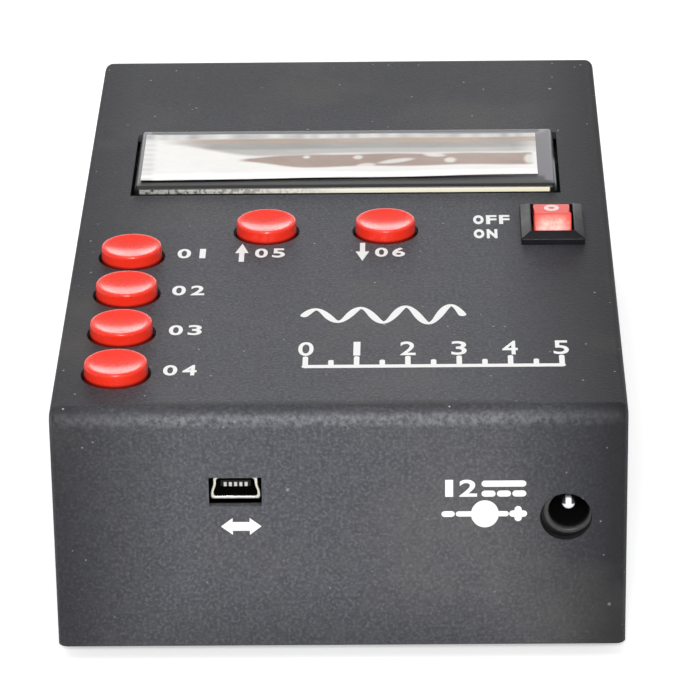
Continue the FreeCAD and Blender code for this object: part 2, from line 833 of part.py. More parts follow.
# The display's frame is a pressed steel lid with a viewing window and four bent tabs.
bezel = new_body("bezel")
lid = pad(bezel, rectangle(sketch_on(bezel, "XY_Plane"), "0", "0", "lcd_width", "lcd_depth"),
          "lcd_height")
lid = fillet(bezel, lid, "lcd_corner", lambda box: box.ZMax > 1)
doc.recompute()
lid_hollow = bezel.newObject("PartDesign::Thickness", "bezel_hollow")
open_face = next(f"Face{n}" for n, face in enumerate(lid.Shape.Faces, start=1)
                 if flat_at(face.BoundBox.ZMin, face.BoundBox.ZMax, 0))
lid_hollow.Base = (lid, [open_face])
lid_hollow.Reversed = True
lid_hollow.setExpression("Value", bind("lcd_sheet"))
pocket(bezel, rectangle(sketch_on(bezel, "XY_Plane", "lcd_height"), "0", "0",
                        "lcd_view_width", "lcd_view_depth"), "2 * lcd_sheet")
tabs = sketch_on(bezel, "XY_Plane")
for side in (-1, 1):
    for end in (-1, 1):
        rectangle(tabs, f"{side} * lcd_tab_x", f"{end} * {TAB_Y}", "lcd_tab_width", "lcd_sheet")
pad(bezel, tabs, "lcd_tab_length", Reversed=True)
place(keep(bezel, "lcd_bezel"), "lcd_x", f"{FRONT} + lcd_y", LCD_BOARD_TOP)

GLASS_WIDTH = "(lcd_width - 2 * lcd_sheet - 2 * lcd_fit)"
GLASS_DEPTH = "(lcd_depth - 2 * lcd_sheet - 2 * lcd_fit)"
GLASS_LEVEL = "(lcd_height - lcd_sheet - lcd_glass)"
glass = new_body("glass")
pane = pad(glass, rectangle(sketch_on(glass, "XY_Plane", GLASS_LEVEL), "0", "0",
                            GLASS_WIDTH, GLASS_DEPTH), "lcd_glass")
fillet(glass, pane, "lcd_corner", lambda box: box.ZLength > 1)
place(keep(glass, "lcd_glass"), "lcd_x", f"{FRONT} + lcd_y", LCD_BOARD_TOP)

STRIP_Y = f"({GLASS_DEPTH} / 2 - lcd_strip / 2)"
strips = new_body("strips")
strip_ends = sketch_on(strips, "XY_Plane")
for end in (-1, 1):
    rectangle(strip_ends, "0", f"{end} * {STRIP_Y}", "lcd_light_width", "lcd_strip")
pad(strips, strip_ends, GLASS_LEVEL)
place(keep(strips, "lcd_contact_strips"), "lcd_x", f"{FRONT} + lcd_y", LCD_BOARD_TOP)

light = new_body("light")
pad(light, rectangle(sketch_on(light, "XY_Plane"), "0", "0", "lcd_light_width",
                     f"{GLASS_DEPTH} - 2 * lcd_strip - 2 * lcd_fit"), GLASS_LEVEL)
place(keep(light, "lcd_backlight"), "lcd_x", f"{FRONT} + lcd_y", LCD_BOARD_TOP)

film = new_body("film")
pad(film, rectangle(sketch_on(film, "XY_Plane", "lcd_height"), "-film_left", "film_rear",
                    "film_width", "film_depth"), "film_thick")
place(keep(film, "lcd_film"), "lcd_x", f"{FRONT} + lcd_y", LCD_BOARD_TOP)

# ---------------------------------------------------------------- push buttons

# Each button is a square push switch on the board: a moulded base, a snap dome on its
# floor, a stem under a steel plate, and a round dished cap with a bevelled rim on the
# stem's square end.
BUTTONS = ["1", "2", "3", "4", "up", "down"]

bases = new_body("bases")
base_squares = sketch_on(bases, "XY_Plane")
base_bores = sketch_on(bases, "XY_Plane", "switch_base")
plates = new_body("plates")
plate_squares = sketch_on(plates, "XY_Plane")
legs = new_body("legs")
leg_ends = sketch_on(legs, "XY_Plane")
for x, y in hole_places():
    rectangle(base_squares, x, y, "switch_side", "switch_side")
    circle(base_bores, x, y, "switch_bore")
    rectangle(plate_squares, x, y, "switch_side", "switch_side")
    circle(plate_squares, x, y, "stem_neck + hole_play")
    for side in (-1, 1):
        for end in (-1, 1):
            rectangle(leg_ends, f"{x} + {side} * switch_leg_x", f"{y} + {end} * switch_leg_y",
                      "switch_leg_thick", "switch_leg")
pad(bases, base_squares, "switch_base")
pocket(bases, base_bores, "switch_base - switch_floor")
place(keep(bases, "switch_bases"), "0", FRONT, BOARD_TOP)
pad(plates, plate_squares, "switch_plate")
place(keep(plates, "switch_plates"), "0", FRONT, f"{BOARD_TOP} + switch_base")
pad(legs, leg_ends, "board_thick + switch_leg_reach + switch_leg_rise")
place(keep(legs, "switch_legs"), "0", FRONT, f"{BOARD_UNDER} - switch_leg_reach")

domes = []
for name, (x, y) in zip(BUTTONS, hole_places()):
    dome = new_body(f"dome_{name}")
    revolve(dome, outline(sketch_on(dome, "XZ_Plane"), [
        ("0", "dome_rise - dome_thick"),
        ("dome_diameter / 2 - dome_thick", "0"),
        ("dome_diameter / 2", "0"),
        ("0", "dome_rise"),
    ]))
    place(dome, x, f"{FRONT} + {y}", f"{BOARD_TOP} + switch_floor")
    domes.append(dome)
keep(group("switch_domes", domes), "switch_domes")

FOOT_BOTTOM = "(switch_floor + dome_rise + button_travel + dome_gap)"
for name, (x, y) in zip(BUTTONS, hole_places()):
    stem = new_body(f"stem_{name}")
    revolve(stem, outline(sketch_on(stem, "XZ_Plane"), [
        ("0", FOOT_BOTTOM),
        ("stem_foot / 2", FOOT_BOTTOM),
        ("stem_foot / 2", "switch_base - stem_gap"),
        ("stem_neck / 2", "switch_base - stem_gap"),
        ("stem_neck / 2", "switch_base + stem_neck_height"),
        ("0", "switch_base + stem_neck_height"),
    ]))
    square = rectangle(sketch_on(stem, "XY_Plane", "switch_base + stem_neck_height"), "0", "0",
                       "stem_square", "stem_square")
    pad(stem, square, f"{STEM_TOP} - {BOARD_TOP} - switch_base - stem_neck_height")
    place(keep(stem, f"button_stem_{name}"), x, f"{FRONT} + {y}", BOARD_TOP)

CAP_HEIGHT = f"({TOP} + cap_proud - {CAP_BOTTOM})"
DISH_RADIUS = "((cap_diameter / 2 - cap_rim) ^ 2 / (2 * cap_dish) + cap_dish / 2)"
for name, (x, y) in zip(BUTTONS, hole_places()):
    cap = new_body(f"cap_{name}")
    turned = revolve(cap, outline(sketch_on(cap, "XZ_Plane"), [
        ("0", "0"),
        ("cap_flange / 2", "0"),
        ("cap_flange / 2", "cap_flange_height"),
        ("cap_diameter / 2 + cap_taper", "cap_flange_height"),
        ("cap_diameter / 2", f"{CAP_HEIGHT} - cap_rim"),
        ("cap_diameter / 2 - cap_rim", CAP_HEIGHT),
        ("0", f"{CAP_HEIGHT} - cap_dish", DISH_RADIUS, -1),
    ]))
    socket = rectangle(sketch_on(cap, "XY_Plane"), "0", "0", "stem_square + stem_play",
                       "stem_square + stem_play")
    pocket(cap, socket, f"{STEM_TOP} - {CAP_BOTTOM}", Reversed=True)
    place(keep(cap, f"button_cap_{name}"), x, f"{FRONT} + {y}", CAP_BOTTOM)

# ---------------------------------------------------------------- rocker switch

# The housing drops into the cover from above. Its frame slopes down to the outside, and
# below the narrow mouth its chamber is longer, so that the rocker's round ends can pass.
housing = new_body("housing")
pad(housing, rectangle(sketch_on(housing, "XY_Plane"), "0", "0", "rocker_body_width",
                       "rocker_body_length"), "rocker_body_depth", Reversed=True)
pad(housing, rectangle(sketch_on(housing, "XY_Plane"), "0", "0", "rocker_bezel_width",
                       "rocker_bezel_length"), "rocker_bezel_edge")
slope = housing.newObject("PartDesign::AdditiveLoft", "housing_slope")
slope.Profile = rectangle(sketch_on(housing, "XY_Plane", "rocker_bezel_edge"), "0", "0",
                          "rocker_bezel_width - rocker_bezel_lip",
                          "rocker_bezel_length - rocker_bezel_lip")
slope.Sections = [rectangle(sketch_on(housing, "XY_Plane", "rocker_bezel_height"), "0", "0",
                            "rocker_opening_width + 2 * rocker_bezel_lip",
                            "rocker_opening_length + 2 * rocker_bezel_lip")]
pocket(housing, rectangle(sketch_on(housing, "XY_Plane", "rocker_bezel_height"), "0", "0",
                          "rocker_opening_width", "rocker_opening_length"),
       "rocker_bezel_height")
pocket(housing, rectangle(sketch_on(housing, "XY_Plane", "rocker_throat"), "0", "0",
                          "rocker_opening_width", "rocker_chamber"),
       "rocker_throat + rocker_body_depth - rocker_floor")
dimples = circle(sketch_on(housing, "YZ_Plane"), "0", "-rocker_pivot_drop",
                 "rocker_pin + 2 * rocker_pin_play")
pocket(housing, dimples, "rocker_opening_width + 2 * rocker_pin_length + 2 * rocker_pin_play",
       SideType="Symmetric")
slots = sketch_on(housing, "XY_Plane", "rocker_floor - rocker_body_depth")
for y in ("0", "terminal_far"):
    rectangle(slots, "0", y, "terminal_width + terminal_play",
              "terminal_thick + terminal_play")
pocket(housing, slots, "rocker_floor")
BARB_TOP = "(-wall - rocker_barb_gap)"
barbs = sketch_on(housing, "YZ_Plane")
for side, turn in ((1, 1), (-1, -1)):
    points = [
        (f"{side} * rocker_body_length / 2", f"{BARB_TOP}"),
        (f"{side} * rocker_body_length / 2", f"{BARB_TOP} - rocker_barb_length"),
        (f"{side} * (rocker_body_length / 2 + rocker_barb)", f"{BARB_TOP} - rocker_barb / 2"),
        (f"{side} * (rocker_body_length / 2 + rocker_barb)", f"{BARB_TOP}"),
    ]
    outline(barbs, points[::turn])
pad(housing, barbs, "rocker_body_width / 2", SideType="Symmetric")
place(keep(housing, "rocker_housing"), "rocker_x", f"{FRONT} + rocker_y", TOP)

# The rocker's top is a shallow V and its ends are round about the pivot, so they fill
# the mouth at every angle. Its far end is down at rest, which is off.
END_Y = ("((-rocker_valley * tan(rocker_tilt * 1deg)"
         " + sqrt(rocker_radius ^ 2 * (1 + tan(rocker_tilt * 1deg) ^ 2) - rocker_valley ^ 2))"
         " / (1 + tan(rocker_tilt * 1deg) ^ 2))")
END_Z = f"(rocker_valley + {END_Y} * tan(rocker_tilt * 1deg))"
UNDER_Y = "sqrt(rocker_radius ^ 2 - rocker_under ^ 2)"
rocker = new_body("rocker")
side_view = outline(sketch_on(rocker, "YZ_Plane"), [
    (f"-{UNDER_Y}", "-rocker_under", "rocker_radius", 1),
    (UNDER_Y, "-rocker_under"),
    (END_Y, END_Z, "rocker_radius", 1),
    ("0", "rocker_valley"),
    (f"-{END_Y}", END_Z),
])
pad(rocker, side_view, "rocker_width", SideType="Symmetric")
hub = circle(sketch_on(rocker, "YZ_Plane"), "0", "0", "rocker_pin")
pad(rocker, hub, "rocker_opening_width + 2 * rocker_pin_length", SideType="Symmetric")
plunger_seat = circle(sketch_on(rocker, "XY_Plane", "-rocker_under"), "0", "0",
                      "rocker_plunger + screw_play")
pocket(rocker, plunger_seat, "rocker_under + rocker_plunger_seat", Reversed=True)
place(keep(rocker, "rocker_button"), "rocker_x", f"{FRONT} + rocker_y", PIVOT)

plunger = new_body("plunger")
revolve(plunger, outline(sketch_on(plunger, "XZ_Plane"), [
    ("0", "-rocker_plunger_reach", "rocker_plunger / 2", -1),
    ("0", "rocker_plunger_seat - rocker_plunger_gap"),
    ("rocker_plunger / 2", "rocker_plunger_seat - rocker_plunger_gap"),
    ("rocker_plunger / 2", "rocker_plunger / 2 - rocker_plunger_reach"),
]))
place(keep(plunger, "rocker_plunger"), "rocker_x", f"{FRONT} + rocker_y", PIVOT)
for piece in (rocker, plunger):
    piece.setExpression("Placement.Rotation.Axis.x", "1")
    piece.setExpression("Placement.Rotation.Axis.z", "0")
    piece.setExpression("Placement.Rotation.Angle", bind("-rocker_tilt"))

# Below the rocker a see-saw of spring brass tips on the middle terminal, on a round bead
# across its middle. Switched on, its far end meets the far terminal.
ARM_LEVEL = f"({PIVOT} - rocker_plunger_reach - contact_gap - contact_bead / 2)"
arm = new_body("arm")
arm_bar = pad(arm, rectangle(sketch_on(arm, "XY_Plane"), "0", "0", "contact_width",
                             "contact_length"), "contact_thick", SideType="Symmetric")
fillet(arm, arm_bar, "contact_corner", lambda box: box.ZLength > 0.1)
bead = circle(sketch_on(arm, "YZ_Plane"), "0", "0", "contact_bead")
pad(arm, bead, "contact_width", SideType="Symmetric")
place(keep(arm, "rocker_contact_arm"), "rocker_x", f"{FRONT} + rocker_y", ARM_LEVEL)
arm.setExpression("Placement.Rotation.Axis.x", "1")
arm.setExpression("Placement.Rotation.Axis.z", "0")
arm.setExpression("Placement.Rotation.Angle", bind("contact_tilt"))

TERMINAL_FOOT = f"({TOP} - rocker_body_depth - terminal_reach)"
MIDDLE_TOP = f"({ARM_LEVEL} - contact_bead / 2 - terminal_gap)"
FAR_DROP = "(contact_thick / 2 + terminal_gap + terminal_far * tan(contact_tilt * 1deg))"
FAR_TOP = f"({ARM_LEVEL} - {FAR_DROP})"
terminals = []
for name, y, top in (("middle", "0", MIDDLE_TOP), ("far", "terminal_far", FAR_TOP)):
    terminals.append(block(f"terminal_{name}", "terminal_width", "terminal_thick",
                           f"{top} - {TERMINAL_FOOT}", "rocker_x",
                           f"{FRONT} + rocker_y + {y}", TERMINAL_FOOT))
keep(group("terminals", terminals), "rocker_terminals")


def lead(name, plane, end_plane, diameter, run, bend):
    """Sweep a wire that runs straight back from the origin, then bends up a quarter."""
    body = new_body(name)
    spine = sketch_on(body, plane)
    length, radius = number(run), number(bend)
    straight = spine.addGeometry(Part.LineSegment(FreeCAD.Vector(0, 0, 0),
                                                  FreeCAD.Vector(-length, 0, 0)))
    ring = Part.Circle(FreeCAD.Vector(-length, radius, 0), FreeCAD.Vector(0, 0, 1), radius)
    turn = spine.addGeometry(Part.ArcOfCircle(ring, math.pi, 1.5 * math.pi))
    spine.addConstraint(Sketcher.Constraint("Coincident", straight, 2, turn, 2))
    fix_point(spine, straight, 1, "0", "0")
    fix_point(spine, straight, 2, f"-({run})", "0")
    fix_point(spine, turn, 3, f"-({run})", bend)
    constrain(spine, bend, "DistanceY", -1, 1, turn, 1)
    profile = circle(sketch_on(body, end_plane), "0", "0", diameter)
    doc.recompute()
    pipe = body.newObject("PartDesign::AdditivePipe", f"{name}_pipe")
    pipe.Profile = profile
    pipe.Spine = (spine, ["Edge1", "Edge2"])
    return body


leads = []
for name, y in (("middle", "0"), ("far", "terminal_far")):
    wire = lead(f"lead_{name}", "XZ_Plane", "YZ_Plane", "lead_diameter", "lead_run", "lead_bend")
    leads.append(place(wire, "rocker_x - terminal_width / 2", f"{FRONT} + rocker_y + {y}",
                       f"{BOARD_UNDER} - lead_bend"))
keep(group("leads", leads), "rocker_leads")

# ---------------------------------------------------------------- power socket

# A barrel socket hangs under the board behind the round hole. Its own frame has the
# front face at y = 0 and the bore's axis on the Y axis.
jack = new_body("jack")
JACK_HEIGHT = "(jack_drop + jack_below)"
JACK_MIDDLE = "((jack_drop - jack_below) / 2)"
pad(jack, rectangle(sketch_on(jack, "XZ_Plane"), "0", JACK_MIDDLE, "jack_width", JACK_HEIGHT),
    "jack_front", Reversed=True)
pad(jack, rectangle(sketch_on(jack, "XZ_Plane"), "0", f"{JACK_MIDDLE} + jack_step / 2",
                    "jack_back_width", f"{JACK_HEIGHT} - jack_step"),
    "jack_length", Reversed=True)
pocket(jack, circle(sketch_on(jack, "XZ_Plane"), "0", "0", "jack_bore"), "jack_bore_depth")
pocket(jack, circle(sketch_on(jack, "XZ_Plane"), "0", "0", "jack_pin + screw_play"), "jack_length")
SPRING_Y = "(jack_bore_depth - jack_spring_length)"
SPRING_LEVEL = "(jack_bore / 2 + jack_spring_gap)"
pocket(jack, rectangle(sketch_on(jack, "XY_Plane", "jack_drop"), "0",
                       f"{SPRING_Y} + jack_spring_length / 2",
                       "jack_spring_width + jack_spring_play",
                       "jack_spring_length + jack_spring_play"), "jack_drop")
place(keep(jack, "dc_jack_body"), "jack_x", f"{FRONT} + wall + jack_gap",
      f"{BOARD_UNDER} - jack_drop")

LEG_TOP = "(jack_drop + board_thick + pin_reach)"
jack_pin = new_body("jack_pin_body")
pin_end = "jack_length + jack_spring_thick"
rod_pad = pad(jack_pin, circle(sketch_on(jack_pin, "XZ_Plane", "-jack_pin_set_back"), "0", "0",
                               "jack_pin"), f"{pin_end} - jack_pin_set_back", Reversed=True)
fillet(jack_pin, rod_pad, "jack_pin_round",
       lambda box: flat_at(box.YMin, box.YMax, number("jack_pin_set_back")))
pad(jack_pin, rectangle(sketch_on(jack_pin, "XZ_Plane", "-jack_length"), "0",
                        f"({LEG_TOP} - jack_pin / 2) / 2", "jack_spring_width",
                        f"{LEG_TOP} + jack_pin / 2"), "jack_spring_thick", Reversed=True)
place(keep(jack_pin, "dc_jack_pin"), "jack_x", f"{FRONT} + wall + jack_gap",
      f"{BOARD_UNDER} - jack_drop")

spring = new_body("spring")
SPRING_END = f"({SPRING_Y} + jack_spring_length)"
pad(spring, outline(sketch_on(spring, "YZ_Plane"), [
    (SPRING_Y, SPRING_LEVEL),
    (SPRING_END, SPRING_LEVEL),
    (SPRING_END, LEG_TOP),
    (f"{SPRING_END} - jack_spring_thick", LEG_TOP),
    (f"{SPRING_END} - jack_spring_thick", f"{SPRING_LEVEL} + jack_spring_thick"),
    (SPRING_Y, f"{SPRING_LEVEL} + jack_spring_thick"),
]), "jack_spring_width", SideType="Symmetric")
place(keep(spring, "dc_jack_spring"), "jack_x", f"{FRONT} + wall + jack_gap",
      f"{BOARD_UNDER} - jack_drop")

# ---------------------------------------------------------------- data socket

# The shell is a folded steel tube, narrow above and flared below its middle, and its own
# frame has the mouth at y = 0 and the middle of its height at z = 0.
usb = new_body("usb")
tube = pad(usb, outline(sketch_on(usb, "XZ_Plane"), [
    ("-usb_width / 2", "-usb_height / 2"),
    ("usb_width / 2", "-usb_height / 2"),
    ("usb_width / 2", "-usb_flare_drop"),
    ("usb_narrow / 2", "usb_neck_rise"),
    ("usb_narrow / 2", "usb_height / 2"),
    ("-usb_narrow / 2", "usb_height / 2"),
    ("-usb_narrow / 2", "usb_neck_rise"),
    ("-usb_width / 2", "-usb_flare_drop"),
]), "usb_length", Reversed=True)
tube = fillet(usb, tube, "usb_round", lambda box: box.YLength > 1
              and near(abs(box.Center.z), number("usb_height / 2")))
doc.recompute()
usb_hollow = usb.newObject("PartDesign::Thickness", "usb_hollow")
ends = [f"Face{n}" for n, face in enumerate(tube.Shape.Faces, start=1)
        if near(face.BoundBox.YLength, 0)]
usb_hollow.Base = (tube, ends)
usb_hollow.Reversed = True
usb_hollow.setExpression("Value", bind("usb_sheet"))
place(keep(usb, "usb_shell"), "usb_x", f"{FRONT} + wall + usb_set_back",
      f"{BOARD_UNDER} - usb_height / 2")

tongue = new_body("tongue")
usb_block = pad(tongue, rectangle(sketch_on(tongue, "XZ_Plane", "-usb_length"), "0", "0",
                                  "usb_narrow - 2 * usb_sheet - 2 * usb_fit",
                                  "usb_height - 2 * usb_sheet - 2 * usb_fit"), "usb_back")
usb_block = fillet(tongue, usb_block, "usb_round - usb_sheet", lambda box: box.YLength > 1)
pad(tongue, rectangle(sketch_on(tongue, "XZ_Plane", "-usb_tongue_set_back"), "0",
                      "usb_tongue_rise", "usb_tongue_width", "usb_tongue_thick"),
    "usb_length - usb_tongue_set_back - usb_back / 2", Reversed=True)
CONTACT_X = "(-usb_contact_pitch * (usb_contact_count - 1) / 2)"
CONTACT_LEVEL = ("(usb_tongue_rise - usb_tongue_thick / 2 + usb_contact_thick / 2"
                 " - usb_contact_proud)")
slot_start = rectangle(sketch_on(tongue, "XZ_Plane"), CONTACT_X,
                       f"{CONTACT_LEVEL} + usb_fit", "usb_contact_width + 2 * usb_fit",
                       "usb_contact_thick + 2 * usb_fit")
row_of(tongue, pocket(tongue, slot_start, "usb_length"), "X_Axis", "usb_contact_pitch",
       "usb_contact_count")
place(keep(tongue, "usb_tongue"), "usb_x", f"{FRONT} + wall + usb_set_back",
      f"{BOARD_UNDER} - usb_height / 2")

blades = new_body("blades")
blade = pad(blades, rectangle(sketch_on(blades, "XZ_Plane", "-usb_tongue_set_back"), CONTACT_X,
                              f"{CONTACT_LEVEL} + usb_fit", "usb_contact_width",
                              "usb_contact_thick"), "usb_length", Reversed=True)
row_of(blades, blade, "X_Axis", "usb_contact_pitch", "usb_contact_count")
place(keep(blades, "usb_contacts"), "usb_x", f"{FRONT} + wall + usb_set_back",
      f"{BOARD_UNDER} - usb_height / 2")

# ---------------------------------------------------------------- antenna socket

# A square-flanged coaxial socket outside the rear wall. Its own frame has the flange's
# inner face at y = 0 and the axis along Y.
SOCKET = ("0", REAR, "foot_height + socket_level")
coax = new_body("coax")
flange = pad(coax, rectangle(sketch_on(coax, "XZ_Plane"), "0", "0", "socket_flange",
                             "socket_flange"), "socket_flange_thick", Reversed=True)
fillet(coax, flange, "socket_corner", lambda box: box.YLength > 1)
pad(coax, circle(sketch_on(coax, "XZ_Plane"), "0", "0", "socket_outer"), "socket_reach",
    Reversed=True)
pad(coax, circle(sketch_on(coax, "XZ_Plane"), "0", "0", "socket_neck"), "socket_neck_depth")
pocket(coax, circle(sketch_on(coax, "XZ_Plane", "-socket_floor"), "0", "0",
                    "socket_inner"), "socket_reach")
pocket(coax, circle(sketch_on(coax, "XZ_Plane", "socket_neck_depth"), "0", "0",
                    "socket_insulator + screw_play"), "socket_reach")
flange_holes = sketch_on(coax, "XZ_Plane")
for sx in (-1, 1):
    for sz in (-1, 1):
        circle(flange_holes, f"{sx} * socket_holes / 2", f"{sz} * socket_holes / 2",
               "socket_screw + hole_play / 2")
pocket(coax, flange_holes, "socket_flange_thick")
for width, height in (("socket_notch", "socket_flange"), ("socket_flange", "socket_notch")):
    notches = sketch_on(coax, "XZ_Plane", "socket_notch_depth - socket_reach")
    pocket(coax, rectangle(notches, "0", "0", width, height), "socket_notch_depth")
place(keep(coax, "antenna_socket_shell"), *SOCKET)

CONTACT_FACE = "(socket_reach - socket_contact_set_back)"
insulator = new_body("insulator")
pad(insulator, circle(sketch_on(insulator, "XZ_Plane", "socket_neck_depth"), "0", "0",
                      "socket_insulator"), f"{CONTACT_FACE} + socket_neck_depth", Reversed=True)
pocket(insulator, circle(sketch_on(insulator, "XZ_Plane"), "0", "0",
                         "socket_contact + screw_play"), "socket_reach")
pocket(insulator, circle(sketch_on(insulator, "XZ_Plane", "socket_neck_depth"), "0", "0",
                         "socket_cup + screw_play"), "socket_reach")
place(keep(insulator, "antenna_socket_insulator"), *SOCKET)

contact = new_body("contact")
pad(contact, circle(sketch_on(contact, "XZ_Plane"), "0", "0", "socket_contact"),
    f"{CONTACT_FACE} + socket_contact_proud", Reversed=True)
pad(contact, circle(sketch_on(contact, "XZ_Plane"), "0", "0", "socket_cup"),
    "socket_neck_depth + socket_cup_length")
BORE_FLOOR = f"({CONTACT_FACE} - socket_contact_depth)"
pocket(contact, circle(sketch_on(contact, "XZ_Plane", f"-{BORE_FLOOR}"), "0", "0",
                       "socket_contact_bore"), "socket_reach")
for width, height in (("socket_slit", "socket_insulator"), ("socket_insulator", "socket_slit")):
    slit = sketch_on(contact, "XZ_Plane", f"-{BORE_FLOOR} - socket_slit_root")
    pocket(contact, rectangle(slit, "0", "0", width, height), "socket_reach")
place(keep(contact, "antenna_socket_contact"), *SOCKET)

socket_screws = []
for sx in (-1, 1):
    for sz in (-1, 1):
        socket_screws.append(screw(
            f"socket_screw_{len(socket_screws) + 1}", "socket_screw", "socket_screw_length",
            "socket_head", "socket_head_height", f"{sx} * socket_holes / 2",
            f"{REAR} + socket_flange_thick",
            f"foot_height + socket_level + {sz} * socket_holes / 2", (0, -1, 0)))
keep(group("socket_screws", socket_screws), "antenna_socket_screws")

socket_nuts = new_body("socket_nuts")
nut_sketch = sketch_on(socket_nuts, "XZ_Plane")
for sx in (-1, 1):
    for sz in (-1, 1):
        hexagon(nut_sketch, f"{sx} * socket_holes / 2", f"{sz} * socket_holes / 2", "nut_flats")
        circle(nut_sketch, f"{sx} * socket_holes / 2", f"{sz} * socket_holes / 2",
               "socket_screw + screw_play")
pad(socket_nuts, nut_sketch, "nut_height")
place(keep(socket_nuts, "antenna_socket_nuts"), "0", f"{REAR} - wall",
      "foot_height + socket_level")

CUP_END = f"({REAR} - socket_neck_depth - socket_cup_length)"
PAD_Y = f"({FRONT} + {BOARD_REAR} - antenna_pad_inset)"
LEAD_RISE = f"({BOARD_UNDER} - foot_height - socket_level)"
coax_lead = lead("coax_lead", "YZ_Plane", "XZ_Plane", "antenna_lead",
                 f"{CUP_END} - {PAD_Y} - {LEAD_RISE}", LEAD_RISE)
place(keep(coax_lead, "antenna_lead"), "0", CUP_END, "foot_height + socket_level")

# ---------------------------------------------------------------- parts under the board


def chip(name, width, length, height, legs_on_side, pitch, leg_width):
    """Make a flat package with a row of legs along both long sides, hanging from z = 0."""
    body = new_body(name)
    top = sketch_on(body, "XY_Plane", "-chip_gap")
    pad(body, rectangle(top, "0", "0", width, length), height, Reversed=True)
    ends = sketch_on(body, "XY_Plane")
    for side in (-1, 1):
        rectangle(ends, f"{side} * ({width} + chip_foot) / 2",
                  f"-({legs_on_side} - 1) * {pitch} / 2", "chip_foot", leg_width)
    feet_pad = pad(body, ends, f"{height} / 2", Reversed=True)
    row_of(body, feet_pad, "Y_Axis", pitch, legs_on_side)
    return body


for name, x in (("processor_chip", "processor_x"), ("signal_chip", "signal_x")):
    package = chip(name, "chip_width", "chip_length", "chip_height", "chip_side_legs",
                   "chip_pitch", "chip_leg")
    place(keep(package, name), x, f"{FRONT} + chip_y", BOARD_UNDER)

small_chips = []
for n in range(3):
    package = chip(f"amplifier_{n + 1}", "small_chip_width", "small_chip_length",
                   "small_chip_height", "small_chip_legs", "small_chip_pitch",
                   "small_chip_leg")
    small_chips.append(place(package, f"small_chip_x + {n} * small_chip_spacing",
                             f"{FRONT} + small_chip_y", BOARD_UNDER))
keep(group("amplifiers", small_chips), "amplifier_chips")

regulators = new_body("regulators")
cases = sketch_on(regulators, "XY_Plane")
heat_tabs = sketch_on(regulators, "XY_Plane")
for n in range(2):
    y = f"regulator_y + {n} * regulator_spacing"
    rectangle(cases, "regulator_x", y, "regulator_width", "regulator_length")
    rectangle(heat_tabs, f"regulator_x - (regulator_width + regulator_tab) / 2", y,
              "regulator_tab", "regulator_length - 2 * regulator_tab_inset")
    for side in (-1, 1):
        rectangle(heat_tabs, "regulator_x + regulator_width / 2 + regulator_tab",
                  f"{y} + {side} * regulator_length / 3", "2 * regulator_tab", "regulator_leg")
pad(regulators, cases, "regulator_height", Reversed=True)
pad(regulators, heat_tabs, "regulator_leg_thick", Reversed=True)
place(keep(regulators, "voltage_regulators"), "0", FRONT, BOARD_UNDER)

crystal = new_body("crystal")
for start, height, inset in (("0", "crystal_rim_height", "0"),
                             ("-crystal_rim_height", "crystal_height - crystal_rim_height",
                              "crystal_rim")):
    side = f"(crystal_width / 2 - {inset})"
    end = "(crystal_length - crystal_width) / 2"
    round_end = f"crystal_bulge * {side}"
    pad(crystal, outline(sketch_on(crystal, "XY_Plane", start), [
        (f"-{end}", f"-{side}", round_end, 1),
        (end, f"-{side}"),
        (end, side, round_end, 1),
        (f"-{end}", side),
    ]), height, Reversed=True)
place(keep(crystal, "crystal_can"), "crystal_x", f"{FRONT} + crystal_y", BOARD_UNDER)

capacitors = new_body("capacitors")
can_feet = sketch_on(capacitors, "XY_Plane")
cans = sketch_on(capacitors, "XY_Plane")
for n in range(3):
    y = f"can_y + {n} * can_spacing"
    rectangle(can_feet, "can_x", y, "can_base", "can_base")
    circle(cans, "can_x", y, "can_diameter")
pad(capacitors, can_feet, "can_base_height", Reversed=True)
upright = pad(capacitors, cans, "can_height", Reversed=True)
dress("Chamfer", capacitors, upright, "can_edge",
      lambda box: flat_at(box.ZMin, box.ZMax, -number("can_height")))
place(keep(capacitors, "filter_capacitors"), "0", FRONT, BOARD_UNDER)

coils = new_body("coils")
coil_rings = sketch_on(coils, "XY_Plane", "-coil_gap")
for n in range(2):
    y = f"coil_y + {n} * coil_spacing"
    circle(coil_rings, "coil_x", y, "coil_outer")
    circle(coil_rings, "coil_x", y, "coil_inner")
coil_pad = pad(coils, coil_rings, "coil_height", Reversed=True)
dress("Chamfer", coils, coil_pad, "coil_edge", lambda box: near(box.ZLength, 0))
place(keep(coils, "toroid_coils"), "0", FRONT, BOARD_UNDER)

# ---------------------------------------------------------------- files

doc.recompute()
for piece in parts:
    if "Invalid" in piece.State or piece.Shape.isNull() or not piece.Shape.isValid():
        raise ValueError(f"{piece.Label} is not a valid shape")
os.makedirs("parts", exist_ok=True)
for piece in parts:
    piece.Shape.exportStep(f"parts/{piece.Label}.step")
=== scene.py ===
import json
import math
import bmesh
import bpy
import numpy as np
from mathutils import Matrix, Vector


